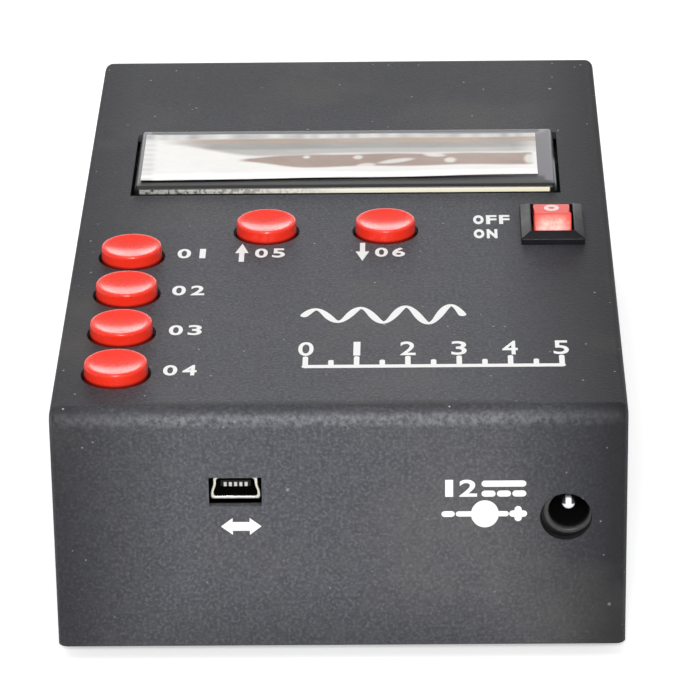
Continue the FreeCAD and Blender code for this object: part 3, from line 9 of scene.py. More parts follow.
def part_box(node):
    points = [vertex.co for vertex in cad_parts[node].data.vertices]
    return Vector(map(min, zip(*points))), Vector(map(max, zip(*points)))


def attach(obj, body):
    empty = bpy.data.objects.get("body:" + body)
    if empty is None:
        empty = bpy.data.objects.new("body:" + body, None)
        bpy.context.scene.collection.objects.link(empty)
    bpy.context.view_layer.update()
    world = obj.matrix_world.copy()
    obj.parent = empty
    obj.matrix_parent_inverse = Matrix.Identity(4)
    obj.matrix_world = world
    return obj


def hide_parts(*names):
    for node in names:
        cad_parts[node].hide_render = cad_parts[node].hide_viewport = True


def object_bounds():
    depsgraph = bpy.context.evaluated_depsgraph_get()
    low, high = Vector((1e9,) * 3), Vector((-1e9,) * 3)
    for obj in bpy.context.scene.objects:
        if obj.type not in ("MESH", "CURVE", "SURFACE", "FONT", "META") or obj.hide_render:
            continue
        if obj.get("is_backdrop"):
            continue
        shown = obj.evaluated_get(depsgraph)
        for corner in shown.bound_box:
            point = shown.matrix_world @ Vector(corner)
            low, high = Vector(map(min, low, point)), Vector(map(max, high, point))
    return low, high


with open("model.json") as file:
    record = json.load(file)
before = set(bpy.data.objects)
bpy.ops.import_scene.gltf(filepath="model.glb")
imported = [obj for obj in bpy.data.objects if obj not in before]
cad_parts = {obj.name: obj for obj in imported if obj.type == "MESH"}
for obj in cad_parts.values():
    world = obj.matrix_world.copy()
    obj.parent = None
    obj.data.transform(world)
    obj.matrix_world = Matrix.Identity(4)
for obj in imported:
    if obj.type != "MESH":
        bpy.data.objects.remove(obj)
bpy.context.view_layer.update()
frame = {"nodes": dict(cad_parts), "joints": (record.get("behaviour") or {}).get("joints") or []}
MM = 0.001

# ---- camera ---------------------------------------------------------------------------
# A long lens in front of the analyzer and above it, looking down on the keys.
camera_place = Vector((12.2, -686.1, 336.6)) * MM
camera_yaw, camera_down, camera_roll = (math.radians(a) for a in (-1.03, 25.14, -0.84))
camera_focal_pixels, camera_centre_pixel, image_pixels, sensor_width = 4443, 346, 700, 36

camera = bpy.data.objects.new("camera", bpy.data.cameras.new("camera"))
bpy.context.scene.collection.objects.link(camera)
bpy.context.scene.camera = camera
camera.data.sensor_width = sensor_width
camera.data.lens = camera_focal_pixels / image_pixels * sensor_width
camera.data.shift_x = (image_pixels / 2 - camera_centre_pixel) / image_pixels
level = Vector((math.sin(camera_yaw), math.cos(camera_yaw), 0))
forward = math.cos(camera_down) * level - math.sin(camera_down) * Vector((0, 0, 1))
right = level.cross(Vector((0, 0, 1))).normalized()
right = Matrix.Rotation(camera_roll, 3, -forward) @ right
turn = Matrix((right, right.cross(forward), -forward)).transposed()
camera.matrix_world = Matrix.Translation(camera_place) @ turn.to_4x4()
bpy.context.scene.view_settings.view_transform = "Standard"

# ---- studio ---------------------------------------------------------------------------
# White paper under and behind the analyzer, a wide soft light above it, a smaller one in
# front for the spots on the glossy keys, and a low one behind for the film's glare.
sky_level, paper_glow, floor_half = 0.40, 0.45, 3.0


def soft_light(name, place, target, size, power):
    """A rectangular lamp of size (width, height) in metres that faces a target point."""
    lamp = bpy.data.objects.new(name, bpy.data.lights.new(name, "AREA"))
    lamp.data.shape = "RECTANGLE"
    lamp.data.size, lamp.data.size_y = size
    lamp.data.energy = power
    lamp.location = place
    lamp.rotation_mode = "QUATERNION"
    lamp.rotation_quaternion = (Vector(target) - Vector(place)).to_track_quat("-Z", "Y")
    bpy.context.scene.collection.objects.link(lamp)


def feed(value, socket):
    """Give a socket its value: a number, a colour or another node's output."""
    if isinstance(value, float):
        socket.default_value = value
    elif isinstance(value, tuple):
        socket.default_value = (*value, 1)
    else:
        value.id_data.links.new(value, socket)


def reckon(operation, *values):
    """Fold values, each a number or an output, into one by a sum, product or the like."""
    tree = next(value.id_data for value in values if not isinstance(value, float))
    total = values[0]
    for value in values[1:] or (0.0,):
        node = tree.nodes.new("ShaderNodeMath")
        node.operation = operation
        feed(total, node.inputs[0])
        feed(value, node.inputs[1])
        total = node.outputs[0]
    return total


def product(*values):
    """Where all of several masks meet."""
    return reckon("MULTIPLY", *values)


def largest(*values):
    """Where any of several masks lies."""
    return reckon("MAXIMUM", *values)


def ramp(value, low, high, to_low=0.0, to_high=1.0):
    """Stretch an output so that low becomes to_low and high becomes to_high."""
    node = value.id_data.nodes.new("ShaderNodeMapRange")
    for label, number in zip(("Value", "From Min", "From Max", "To Min", "To Max"),
                             (value, low, high, to_low, to_high)):
        feed(number, node.inputs[label])
    return node.outputs["Result"]


def finish(name, colour, roughness, metallic=0.0, **settings):
    """Start a material, with plain values on its Principled shader's own sockets, and give
    it and its node tree."""
    material = bpy.data.materials.new(name)
    material.use_nodes = True
    sockets = material.node_tree.nodes["Principled BSDF"].inputs
    for label, value in {"Base Color": (*colour, 1), "Roughness": roughness,
                         "Metallic": metallic, **settings}.items():
        sockets[label.replace("_", " ")].default_value = value
    return material, material.node_tree


def shader_socket(tree, label):
    """A socket of a material's Principled shader."""
    return tree.nodes["Principled BSDF"].inputs[label]


soft_light("light_above", (-0.3, -0.2, 1.3), (0, 0, 0), (1.1, 1.1), 5.5)
soft_light("light_front", (0.03, -1.2, 0.72), (0, -0.02, 0.02), (0.24, 0.18), 13.4)
soft_light("light_behind", (-0.02, 1.45, 0.30), (0, 0.01, 0.04), (1.1, 0.50), 4.0)

world = bpy.data.worlds.new("studio")
bpy.context.scene.world = world
world.use_nodes = True
sky = world.node_tree.nodes["Background"].inputs
sky["Color"].default_value = (1, 1, 1, 1)
rays = world.node_tree.nodes.new("ShaderNodeLightPath").outputs
feed(ramp(largest(rays["Is Camera Ray"], rays["Is Transmission Ray"]), 0.0, 1.0,
          sky_level, 1.0), sky["Strength"])

paper, tree = finish("white_paper", (0.80, 0.80, 0.80), 0.9, Emission_Color=(1, 1, 1, 1))
rays = tree.nodes.new("ShaderNodeLightPath").outputs
feed(product(rays["Is Camera Ray"], paper_glow), shader_socket(tree, "Emission Strength"))
floor_mesh = bpy.data.meshes.new("floor")
floor_mesh.from_pydata([(x * floor_half, y * floor_half, 0)
                        for x, y in ((-1, -1), (1, -1), (1, 1), (-1, 1))], [], [(0, 1, 2, 3)])
floor_mesh.materials.append(paper)
floor = bpy.data.objects.new("floor", floor_mesh)
bpy.context.scene.collection.objects.link(floor)
floor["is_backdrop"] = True

# ---- folded cover and tray ------------------------------------------------------------
# One steel sheet folded down on four sides, welded and ground at the corners, then sprayed
# with black powder that bakes to a fine sandy texture. Painted shade darkens it towards its
# sides, its far end and lower edge, along the front bend and round two of its openings; a
# painted highlight lightens the front bend, and painted glints lighten the tops of its grain.
powder_colour, powder_grain_glint_colour = (0.056, 0.057, 0.067), (0.150, 0.152, 0.168)
powder_cloud_colour, powder_highlight_colour = (0.094, 0.096, 0.109), (0.300, 0.305, 0.325)
powder_shade_colour, powder_dust_colour = (0.006, 0.006, 0.008), (0.150, 0.136, 0.112)
powder_lint_colour = (0.60, 0.60, 0.60)
powder_grain_size, powder_grain_height = 0.00055, 0.00009


def effect(name, inputs, outputs):
    """Start a shader node group with named inputs (name: default) and named outputs, and
    give it and both ends' sockets."""
    group = bpy.data.node_groups.new(name, "ShaderNodeTree")
    for label, value in inputs.items():
        group.interface.new_socket(label, in_out="INPUT",
                                   socket_type="NodeSocketFloat").default_value = value
    for label in outputs:
        group.interface.new_socket(label, in_out="OUTPUT", socket_type="NodeSocketFloat")
    return (group, group.nodes.new("NodeGroupInput").outputs,
            group.nodes.new("NodeGroupOutput").inputs)


def texture_in(group, kind, size, **settings):
    """A texture on Object coordinates whose features are one size output wide."""
    texture = group.nodes.new(kind)
    feed(group.nodes.new("ShaderNodeTexCoord").outputs["Object"], texture.inputs["Vector"])
    feed(reckon("DIVIDE", 1.0, size), texture.inputs["Scale"])
    for label, value in settings.items():
        texture.inputs[label].default_value = value
    return texture.outputs


# Grain: a height and a mask of its tops, for powder coat, moulded plastic and cast faces.
grain, given, result = effect("grain", {"Size": 0.0005}, ["Height", "Tops"])
noise = texture_in(grain, "ShaderNodeTexNoise", given["Size"], Detail=2.5, Roughness=0.6)
feed(noise["Fac"], result["Height"])
feed(ramp(noise["Fac"], 0.46, 0.78), result["Tops"])

# Patches: slow cloudy variation, for dust, polish, stain and handling.
patches, given, result = effect("patches", {"Size": 0.02, "Low": 0.45, "High": 0.7}, ["Mask"])
noise = texture_in(patches, "ShaderNodeTexNoise", given["Size"], Detail=5.0, Roughness=0.6)
feed(ramp(noise["Fac"], given["Low"], given["High"]), result["Mask"])

# Specks: a few round flecks of lint or pits, each in the middle of a cell of some size.
specks, given, result = effect("specks", {"Size": 0.003, "Width": 0.05}, ["Mask"])
cells = texture_in(specks, "ShaderNodeTexVoronoi", given["Size"])
feed(ramp(cells["Distance"], given["Width"], 0.0), result["Mask"])


def use(tree, group, **values):
    """Place a node group in a material, set its inputs by name and give its outputs."""
    node = tree.nodes.new("ShaderNodeGroup")
    node.node_tree = group
    for label, value in values.items():
        node.inputs[label].default_value = value
    return node.outputs


def patchy(tree, size, low, high):
    """The mask of clouds of a size in metres, which starts at low noise and is full at high."""
    return use(tree, patches, Size=size, Low=low, High=high)["Mask"]


def blend(mask, first, second):
    """Run from one colour to another, each a colour or an output, by a mask output."""
    mix = mask.id_data.nodes.new("ShaderNodeMix")
    mix.data_type = "RGBA"
    for value, socket in ((mask, "Factor"), (first, 6), (second, 7)):
        feed(value, mix.inputs[socket])
    return mix.outputs[2]


def overlay(tree, mask, colour):
    """Lay a colour over the base colour as it is so far, by a mask output."""
    base = shader_socket(tree, "Base Color")
    below = base.links[0].from_socket if base.links else tuple(base.default_value)[:3]
    feed(blend(mask, below, colour), base)


def relief(tree, height, depth):
    """Feed a height output into the shader's normal as a bump of that depth in metres."""
    bump = tree.nodes.new("ShaderNodeBump")
    bump.inputs["Distance"].default_value = depth
    feed(height, bump.inputs["Height"])
    feed(bump.outputs["Normal"], shader_socket(tree, "Normal"))


def vary_roughness(tree, mask, low, high):
    """Let roughness run from low to high with a mask output."""
    feed(ramp(mask, 0.0, 1.0, low, high), shader_socket(tree, "Roughness"))


def places(tree):
    """The x, y and z outputs of a point's Object coordinates."""
    apart = tree.nodes.new("ShaderNodeSeparateXYZ")
    feed(tree.nodes.new("ShaderNodeTexCoord").outputs["Object"], apart.inputs[0])
    return apart.outputs


def between(value, low, high, soft):
    """1 where a value lies between two limits, with soft edges."""
    return product(ramp(value, low - soft, low + soft), ramp(value, high + soft, high - soft))


def offset_from(value, centre):
    """How far a value is from a centre, on either side."""
    return reckon("ABSOLUTE", reckon("SUBTRACT", value, centre))


def away_from(*pairs):
    """The distance from an axis: the root of the summed squares of (value, centre) pairs."""
    squares = [reckon("POWER", offset_from(*pair), 2.0) for pair in pairs]
    return reckon("POWER", reckon("ADD", *squares), 0.5)


def repaint(material, *nodes):
    """Give the objects of CAD nodes one material."""
    for node in nodes:
        piece = frame["nodes"][node]
        piece.data.materials.clear()
        piece.data.materials.append(material)


cover_low, cover_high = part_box("top_cover")
front_level, top_level = cover_low.y, cover_high.z
lid_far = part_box("lcd_bezel")[1].y
jack_hole_x, jack_hole_z = 34.6 * MM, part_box("dc_jack_pin")[0].z + 0.6 * MM

powder, tree = finish("black_powder_coat", powder_colour, 0.55, Specular_IOR_Level=0.3)
x, y, z = places(tree)
aside = reckon("ABSOLUTE", x)
sand = use(tree, grain, Size=powder_grain_size)
# painted highlight: a lighter band, in patches, along the front bend
front_bend_highlight = product(ramp(y, front_level + 2.2 * MM, front_level + 1.0 * MM),
                      between(z, top_level - 2.6 * MM, top_level - 0.9 * MM, 0.4 * MM),
                      patchy(tree, 0.0008, 0.38, 0.66), 0.42)
# painted shade: darker towards the sides, more on the right, towards the far end and the front's
# lower edge, on the top just behind the front bend, in a line behind the display window and on
# the wall of the power socket's hole
sides = product(reckon("ADD", ramp(aside, 24.0 * MM, 42.0 * MM, 0.0, 0.70),
                       ramp(x, 14.0 * MM, 42.0 * MM, 0.0, 0.20)),
                ramp(aside, cover_high.x - 0.6 * MM, cover_high.x - 0.1 * MM, 1.0, 0.60))
far_end = ramp(y, -10.0 * MM, 45.0 * MM, 0.0, 0.52)
low_edge_shade = ramp(z, 14.0 * MM, 2.5 * MM, 0.0, 0.30)
front_bend_top_shade = product(ramp(z, top_level - 1.2 * MM, top_level - 0.3 * MM),
                   ramp(y, front_level + 3.8 * MM, front_level + 2.8 * MM, 0.0, 0.40))
window_shadow = product(between(y, lid_far + 0.5 * MM, lid_far + 1.5 * MM, 0.2 * MM),
                      between(x, -33.6 * MM, 34.0 * MM, 0.5 * MM),
                      ramp(z, top_level - 1.0 * MM, top_level - 0.5 * MM), 0.60)
jack_hole_shade = product(ramp(away_from((x, jack_hole_x), (z, jack_hole_z)),
                              4.06 * MM, 3.97 * MM, 0.0, 0.95), ramp(y, 0.0, -1.0 * MM))
lint = product(largest(use(tree, specks, Size=0.0034, Width=0.060)["Mask"],
                       use(tree, specks, Size=0.0105, Width=0.036)["Mask"]),
               ramp(y, front_level + 0.5 * MM, front_level + 1.5 * MM, 0.45, 1.0))
# painted glints: the tops of the powder's grain are coloured lighter
overlay(tree, sand["Tops"], powder_grain_glint_colour)
overlay(tree, product(patchy(tree, 0.0016, 0.40, 0.66), 0.5), powder_cloud_colour)
overlay(tree, front_bend_highlight, powder_highlight_colour)
overlay(tree, largest(sides, far_end, low_edge_shade, front_bend_top_shade, window_shadow, jack_hole_shade),
        powder_shade_colour)
overlay(tree, product(patchy(tree, 0.030, 0.50, 0.75), 0.22), powder_dust_colour)
overlay(tree, lint, powder_lint_colour)
vary_roughness(tree, sand["Height"], 0.50, 0.72)
relief(tree, sand["Height"], powder_grain_height)
repaint(powder, "top_cover", "base_tray")

# ---- case screws ----------------------------------------------------------------------
# Four blackened countersunk screws, two in each side, that draw the cover to the tray.
# Each head lies flush in the sheet and has a pressed cross recess.
screw_low, screw_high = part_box("cover_screws")
head_radius, head_edge = (screw_high.z - screw_low.z) / 2, 0.12 * MM
screw_shank, screw_length, screw_tip = 1.5 * MM, 6.0 * MM, 0.8 * MM
screw_level = (screw_low.z + screw_high.z) / 2
screw_face_rows = 26
FACE_RIGHT = Matrix(((0, 0, 1), (1, 0, 0), (0, 1, 0)))
FACE_LEFT = Matrix(((0, 0, -1), (-1, 0, 0), (0, 1, 0)))


def two_tone(name, colour, other, patch, roughness, grain_size, depth, share=1.0,
             metallic=0.0, **settings):
    """A finish of two close colours, the second in patches (size, low, high) up to a share,
    with a roughness that runs with the patches, over a fine grain of a depth in metres."""
    material, tree = finish(name, colour, roughness[0], metallic, **settings)
    mask = patchy(tree, *patch)
    overlay(tree, product(mask, share) if share < 1 else mask, other)
    if roughness[0] != roughness[1]:
        vary_roughness(tree, mask, *roughness)
    if depth:
        relief(tree, use(tree, grain, Size=grain_size)["Height"], depth)
    return material


def polygons(name, grids, closed=True, ends=True):
    """Turn grids of points (rows, columns, xyz) into one mesh. Neighbouring rows and columns
    make quads, the columns close into a ring, and the end rows are filled. Points that
    coincide are merged and the faces are turned outwards."""
    points, faces, start = [], [], 0
    for grid in grids:
        rows, columns = grid.shape[:2]
        index = np.arange(rows * columns).reshape(rows, columns) + start
        if closed:
            index = np.column_stack([index, index[:, 0]])
        quads = np.stack([index[:-1, :-1], index[:-1, 1:], index[1:, 1:], index[1:, :-1]], -1)
        faces += quads.reshape(-1, 4).tolist()
        if ends:
            faces += [index[0, :columns][::-1].tolist(), index[-1, :columns].tolist()]
        points.append(grid.reshape(-1, 3))
        start += rows * columns
    mesh = bpy.data.meshes.new(name)
    mesh.from_pydata(np.vstack(points).tolist(), [], faces)
    work = bmesh.new()
    work.from_mesh(mesh)
    bmesh.ops.remove_doubles(work, verts=work.verts, dist=1e-7)
    bmesh.ops.dissolve_degenerate(work, edges=work.edges, dist=1e-8)
    bmesh.ops.recalc_face_normals(work, faces=work.faces)
    work.to_mesh(mesh)
    work.free()
    return mesh


def add_piece(name, shape, material, body, slot=None, nodes=(), sharp=35, **closing):
    """Make a mesh, or grids of points, a piece of the object: smooth but for edges sharper
    than an angle in degrees, riding on a body, and standing for CAD nodes if any."""
    mesh = shape if isinstance(shape, bpy.types.Mesh) else polygons(name, shape, **closing)
    mesh.shade_smooth()
    mesh.set_sharp_from_angle(angle=math.radians(sharp))
    mesh.materials.clear()
    mesh.materials.append(material)
    piece = bpy.data.objects.new(name, mesh)
    bpy.context.scene.collection.objects.link(piece)
    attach(piece, body)
    if nodes:
        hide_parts(*nodes)


def softened(corners, size, steps=4):
    """A profile through the corners, each inner one rounded off. A rounding starts and ends
    at the given distance from its corner and is the parabola (1-t)^2 a + 2t(1-t) b + t^2 c."""
    corners = np.asarray(corners, float)
    t = np.linspace(0, 1, steps + 1)[:, None]
    pieces = [corners[:1]]
    for before, corner, after in zip(corners, corners[1:], corners[2:]):
        reach = [min(size, np.linalg.norm(end - corner) * 0.45) for end in (before, after)]
        a, c = (corner + (end - corner) / np.linalg.norm(end - corner) * r
                for end, r in zip((before, after), reach))
        pieces.append((1 - t) ** 2 * a + 2 * t * (1 - t) * corner + t ** 2 * c)
    pieces.append(corners[-1:])
    return np.vstack(pieces)


def turned(profile, count=72):
    """Turn a profile of (radius, height) about the local z axis: x = r cos a, y = r sin a."""
    profile = np.asarray(profile, float)
    angle = np.linspace(0, 2 * np.pi, count, endpoint=False)
    radius, height = profile[:, 0, None], profile[:, 1, None]
    return np.stack([radius * np.cos(angle), radius * np.sin(angle),
                     np.broadcast_to(height, (len(profile), count))], axis=-1)


def cross_recess(points, reach, width, depth):
    """Sink a screw head's face by a cross: its depth is full in the middle and falls off
    along the arms, and its flanks slope."""
    x, y = np.abs(points[..., 0]), np.abs(points[..., 1])
    flank = np.clip((width / 2 - np.minimum(x, y)) / (width * 0.18), 0, 1)
    along = np.clip((reach - np.maximum(x, y)) / (reach * 0.45), 0, 1)
    points[..., 2] -= depth * flank * along


def set_in(grid, place, axes=Matrix.Identity(3)):
    """Turn a local grid by axes, whose columns are its x, y and z in the object's frame, and
    move it to a place."""
    return grid @ np.array(axes).T + np.array(place)


def countersunk_screw():
    """A flat head with a cross recess, a cone below it and a plain shank with a tapered tip."""
    flat = np.linspace(0, 1, screw_face_rows)[:, None] * (head_radius - head_edge, 0)
    below = softened([(head_radius - head_edge, 0), (head_radius, -0.1 * MM),
                      (screw_shank, screw_shank - head_radius),
                      (screw_shank, 0.6 * MM - screw_length), (screw_tip, -screw_length),
                      (0, -screw_length)], 0.05 * MM, 2)
    grid = turned(np.vstack([flat, below]), count=64)
    cross_recess(grid[:screw_face_rows], reach=1.75 * MM, width=0.75 * MM, depth=1.1 * MM)
    return grid


steel_black = two_tone("blackened_steel", (0.045, 0.045, 0.048), (0.16, 0.155, 0.15),
                       (0.0011, 0.5, 0.75), (0.42, 0.28), 0.00012, 0.00002, share=0.55,
                       metallic=0.75)
add_piece("countersunk_screws", [
    set_in(countersunk_screw(), (side * screw_high.x, y, screw_level), axes)
    for side, axes in ((-1, FACE_LEFT), (1, FACE_RIGHT))
    for y in (screw_low.y + head_radius, screw_high.y - head_radius)],
    steel_black, "case", "blackened_steel", ["cover_screws"])

# ---- feet -----------------------------------------------------------------------------
# Four moulded rubber feet under the tray: a slight taper, a soft lower edge and a shallow
# dimple left by the mould.
feet_low, feet_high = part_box("rubber_feet")
foot_radius, foot_taper = 5.0 * MM, 0.8 * MM
dimple_edge, dimple_floor, dimple_level = 2.1 * MM, 1.7 * MM, 0.7 * MM
rubber = two_tone("black_rubber", (0.035, 0.035, 0.036), (0.085, 0.083, 0.08),
                  (0.004, 0.45, 0.7), (0.66, 0.86), 0.0003, 0.00003, share=0.4)
foot_profile = softened([(0, feet_high.z), (foot_radius, feet_high.z),
                         (foot_radius - foot_taper, feet_low.z), (dimple_edge, feet_low.z),
                         (dimple_floor, dimple_level), (0, dimple_level)], 0.45 * MM, 5)
add_piece("moulded_feet", [
    set_in(turned(foot_profile), (x, y, 0))
    for x in (feet_low.x + foot_radius, feet_high.x - foot_radius)
    for y in (feet_low.y + foot_radius, feet_high.y - foot_radius)],
    rubber, "case", "rubber", ["rubber_feet"])

# ---- printed marks --------------------------------------------------------------------
# White screen-printing ink on the powder coat: a thin raised film, a little rough where it
# follows the grain. Each mark is a flat curve or figure made a mesh and laid on the metal.
ink_thickness, rim_height_mm = 0.02 * MM, 2.5
UPWARD = Matrix.Identity(3)
FACE_FRONT = Matrix(((1, 0, 0), (0, 0, -1), (0, 1, 0)))


def printed(name, colour, worn_colour):
    """Ink of one colour, worn to another in small patches, over the powder's grain."""
    return two_tone(name, colour, worn_colour, (0.0012, 0.66, 0.85), (0.5, 0.5),
                    powder_grain_size, 0.00003, share=0.35)


ink = printed("white_print_ink", (0.86, 0.86, 0.85), (0.35, 0.35, 0.35))


def lay_mark(name, flat_mesh, place, axes, material=ink, body="case"):
    """Put a flat mesh on a face: axes turns its x, y and height into the object's frame,
    and place is where its origin goes."""
    flat_mesh.transform(Matrix.Translation(place) @ axes.to_4x4())
    add_piece(name, flat_mesh, material, body)


def lettering(characters, *sizes):
    """Plain characters as one mesh, centred on the origin. The sizes, in mm, are a
    character's height and width, the even pitch and what is added to the strokes."""
    height, width, pitch, weight = (size * MM for size in sizes)
    slim_one = 0.45
    points, faces, start = [], [], 0
    for place, character in enumerate(characters):
        text = bpy.data.curves.new("character", "FONT")
        text.body = character
        text.extrude = 0.5
        text.resolution_u = 5
        holder = bpy.data.objects.new("character", text)
        bpy.context.scene.collection.objects.link(holder)
        bpy.context.view_layer.update()
        text.offset = weight / width * holder.dimensions.x
        bpy.context.view_layer.update()
        glyph = bpy.data.meshes.new_from_object(holder)
        bpy.data.objects.remove(holder)
        outline = np.empty(len(glyph.vertices) * 3, np.float32)
        glyph.vertices.foreach_get("co", outline)
        outline = outline.reshape(-1, 3)
        low, high = outline.min(0), outline.max(0)
        slim = slim_one if character == "1" else 1.0
        scale = np.array([width * slim, height, 0]) / (high - low)
        outline[:, 2] = np.where(outline[:, 2] > 0, ink_thickness, -ink_thickness / 5)
        outline[:, :2] = ((outline - (low + high) / 2) * scale)[:, :2]
        outline[:, 0] += (place - (len(characters) - 1) / 2) * pitch
        points.append(outline)
        faces += [[index + start for index in face.vertices] for face in glyph.polygons]
        start += len(outline)
    flat = bpy.data.meshes.new("lettering")
    flat.from_pydata(np.vstack(points).tolist(), [], faces)
    return flat


def inked(*loops):
    """Flat outlines in mm, each an array of (x, y) running counter-clockwise, as thin slabs
    of ink, each a hair thicker than the one before so that slabs may overlap."""
    grids = []
    for order, loop in enumerate(loops):
        loop = np.asarray(loop, float) * MM
        top = ink_thickness * (1 + order / 25)
        grids.append(np.stack([np.column_stack([loop, np.full(len(loop), height)])
                               for height in (-ink_thickness / 5, top)]))
    return polygons("inked", grids)


def stroke(path, width, tip=6):
    """A brush stroke's outline with round ends: a path of (x, y) points with a width at
    each, offset to both sides along the normal, and half circles of tip steps at the ends."""
    path = np.asarray(path, float)
    along = np.gradient(path, axis=0)
    along /= np.linalg.norm(along, axis=1)[:, None]
    across = np.column_stack([-along[:, 1], along[:, 0]])
    half = np.broadcast_to(np.asarray(width, float), len(path))[:, None] / 2
    turn = np.linspace(0, np.pi, tip + 2)[1:-1, None]
    last_end = path[-1] + half[-1] * (np.sin(turn) * along[-1] - np.cos(turn) * across[-1])
    first_end = path[0] + half[0] * (np.cos(turn) * across[0] - np.sin(turn) * along[0])
    return np.vstack([path - across * half, last_end, (path + across * half)[::-1], first_end])


def bar(x0, y0, x1, y1, width):
    """A straight stroke from one point to another."""
    return stroke(np.linspace((x0, y0), (x1, y1), 3), width)


def arrow(height, width, shaft, head=0.52):
    """An upright arrow's outline, centred on the origin, with its head a share of its height."""
    h, w, s = height / 2, width / 2, shaft / 2
    base = h - head * height
    return np.array([(-s, -h), (s, -h), (s, base), (w, base), (0, h), (-w, base), (-s, base)])


def on_top(x, distance):
    """A point on the cover's top, by its x and its distance back from the front in mm."""
    return Vector((x * MM, front_level + distance * MM, top_level))


def on_front(x, height):
    """A point on the front face, by its x and its height above the cover's rim in mm."""
    return Vector((x * MM, front_level, (height + rim_height_mm) * MM))


for characters, x, distance, *sizes in (
        ("01", -24.4, 59.0, 3.7, 2.2, 3.0, 0.12), ("02", -24.6, 44.4, 3.7, 2.2, 3.0, 0.12),
        ("03", -24.4, 29.3, 3.7, 2.2, 3.0, 0.12), ("04", -24.6, 14.6, 3.7, 2.2, 3.0, 0.12),
        ("05", -11.9, 59.0, 3.6, 2.1, 2.8, 0.12), ("06", 7.7, 59.0, 3.6, 2.1, 2.8, 0.12),
        ("OFF", 24.45, 72.0, 3.7, 1.75, 2.15, 0.16),
        ("ON", 23.4, 66.2, 3.7, 1.75, 2.15, 0.16)):
    lay_mark(f"mark_{characters}", lettering(characters, *sizes), on_top(x, distance), UPWARD)
for name, x, sign in (("up", -16.5, 1), ("down", 3.2, -1)):
    lay_mark(f"mark_arrow_{name}", inked(arrow(7.2, 2.2, 0.85) * sign), on_top(x, 59.2), UPWARD)

# Two brushed lines between the keys and the switch: a wave, and a scale with plain numbers.
wave_span = np.linspace(0, 1, 90)
wave_path = np.column_stack([wave_span * 25.0 - 5.8,
                             3.6 * np.sin(wave_span * 7 * np.pi) * (0.6 + 0.4 * wave_span)])
wave_width = 1.05 + 0.28 * np.sin(wave_span * 14 * np.pi + 1.0)
lay_mark("mark_wave", inked(stroke(wave_path, wave_width)), on_top(0, 34.5), UPWARD)
scale_left, scale_right, scale_steps = -5.3, 34.4, 5
ticks = np.linspace(scale_left, scale_right, 2 * scale_steps + 1)
lay_mark("mark_scale", inked(
    bar(scale_left, 0, scale_right, 0, 1.1),
    *(bar(x, 0, x, 1.9 if k % 2 else 3.2, 0.85) for k, x in enumerate(ticks))),
    on_top(0, 15.6), UPWARD)
for k, x in enumerate(ticks[::2]):
    lay_mark(f"mark_scale_{k}", lettering(str(k), 5.0, 2.4, 2.4, 0.08), on_top(x, 22.0), UPWARD)

# Below the data socket a double arrow; beside the power socket a direct-current sign with a
# number, and the polarity sign: minus, a ring closed round a dot, plus.
turn_once = np.linspace(0, 2 * np.pi, 48, endpoint=False)
for name, mark, place in (
        ("data", inked(bar(-1.7, 0, 1.7, 0, 1.5), [(-1.3, -1.45), (-1.3, 1.45), (-3.1, 0)],
                       [(1.3, 1.45), (1.3, -1.45), (3.1, 0)]), (-15.1, 20.8)),
        ("current", inked(bar(-2.9, 0.75, 2.9, 0.75, 1.05), bar(-2.9, -0.95, -1.8, -0.95, 1.05),
                          bar(-0.55, -0.95, 0.55, -0.95, 1.05),
                          bar(1.8, -0.95, 2.9, -0.95, 1.05)), (25.1, 27.1)),
        ("volts", lettering("12", 2.9, 2.7, 2.9, 0.14), (18.2, 27.1)),
        ("polarity", inked(bar(-6.15, 0, -5.1, 0, 1.0), bar(-4.0, 0, 3.2, 0, 0.9),
                           np.column_stack([2.12 * np.cos(turn_once), 2.32 * np.sin(turn_once)]),
                           bar(4.25, 0, 5.9, 0, 1.1), bar(5.07, -0.75, 5.07, 0.75, 1.1)),
         (22.2, 22.7))):
    lay_mark(f"mark_{name}", mark, on_front(*place), FACE_FRONT)

# ---- display --------------------------------------------------------------------------
# A two-line character module over glass: a pressed steel lid, its flat painted grey, its bent
# edges and walls coloured near black as painted shade, and a strip of its near wall unpainted
# metal coloured near white, partly a painted highlight. A thin film still lies on it, loose
# and wavy; its pattern is a painted reflection. Painted shade darkens the lid round the film
# and along its far edge.
lcd_low, lcd_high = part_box("lcd_bezel")
lcd_middle = (lcd_low + lcd_high) / 2
film_low, film_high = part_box("lcd_film")
lid_level = film_low.z
foot_below_glass = 4.5 * MM
lid_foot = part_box("lcd_glass")[0].z - foot_below_glass
lid_width, lid_depth = lcd_high.x - lcd_low.x, lcd_high.y - lcd_low.y
lid_sheet, lid_bend = 0.5 * MM, 0.8 * MM
view_width, view_depth, view_corner = 64.5 * MM, 16.4 * MM, 0.4 * MM


def round_rectangle(width, depth, corner, middle=(0, 0), count=6):
    """A rectangle with round corners as points (x, y): a quarter circle in each corner. With
    a corner of half the width it is a circle, point for point."""
    turn = np.linspace(0, np.pi / 2, count + 1)
    quarters = []
    for k, (sx, sy) in enumerate(((1, 1), (-1, 1), (-1, -1), (1, -1))):
        centre = np.array([sx * (width / 2 - corner), sy * (depth / 2 - corner)])
        angle = turn + k * np.pi / 2
        quarters.append(centre + corner * np.column_stack([np.cos(angle), np.sin(angle)]))
    return np.vstack(quarters) + np.array(middle)


def lofted(sections):
    """A grid through sections (outline, height), each outline with as many points."""
    return np.stack([np.column_stack([outline, np.full(len(outline), height)])
                     for outline, height in sections])


def stepped(profile, width, depth, corner, middle=(0, 0)):
    """Rings for a profile of (inset, height) carried round a rectangle with round corners."""
    return lofted([(round_rectangle(width - 2 * inset, depth - 2 * inset,
                                    max(corner - inset, 0.02 * MM), middle), height)
                   for inset, height in profile])


bend_angle = np.linspace(0, np.pi / 2, 9)


def lid_bend_profile(inset, angle):
    """The lid's bend, drawn in by the sheet's inset: a quarter circle of (inset, height)."""
    radius = lid_bend - inset
    return np.column_stack([inset + radius * (1 - np.cos(angle)),
                            lid_level - lid_bend + radius * np.sin(angle)])


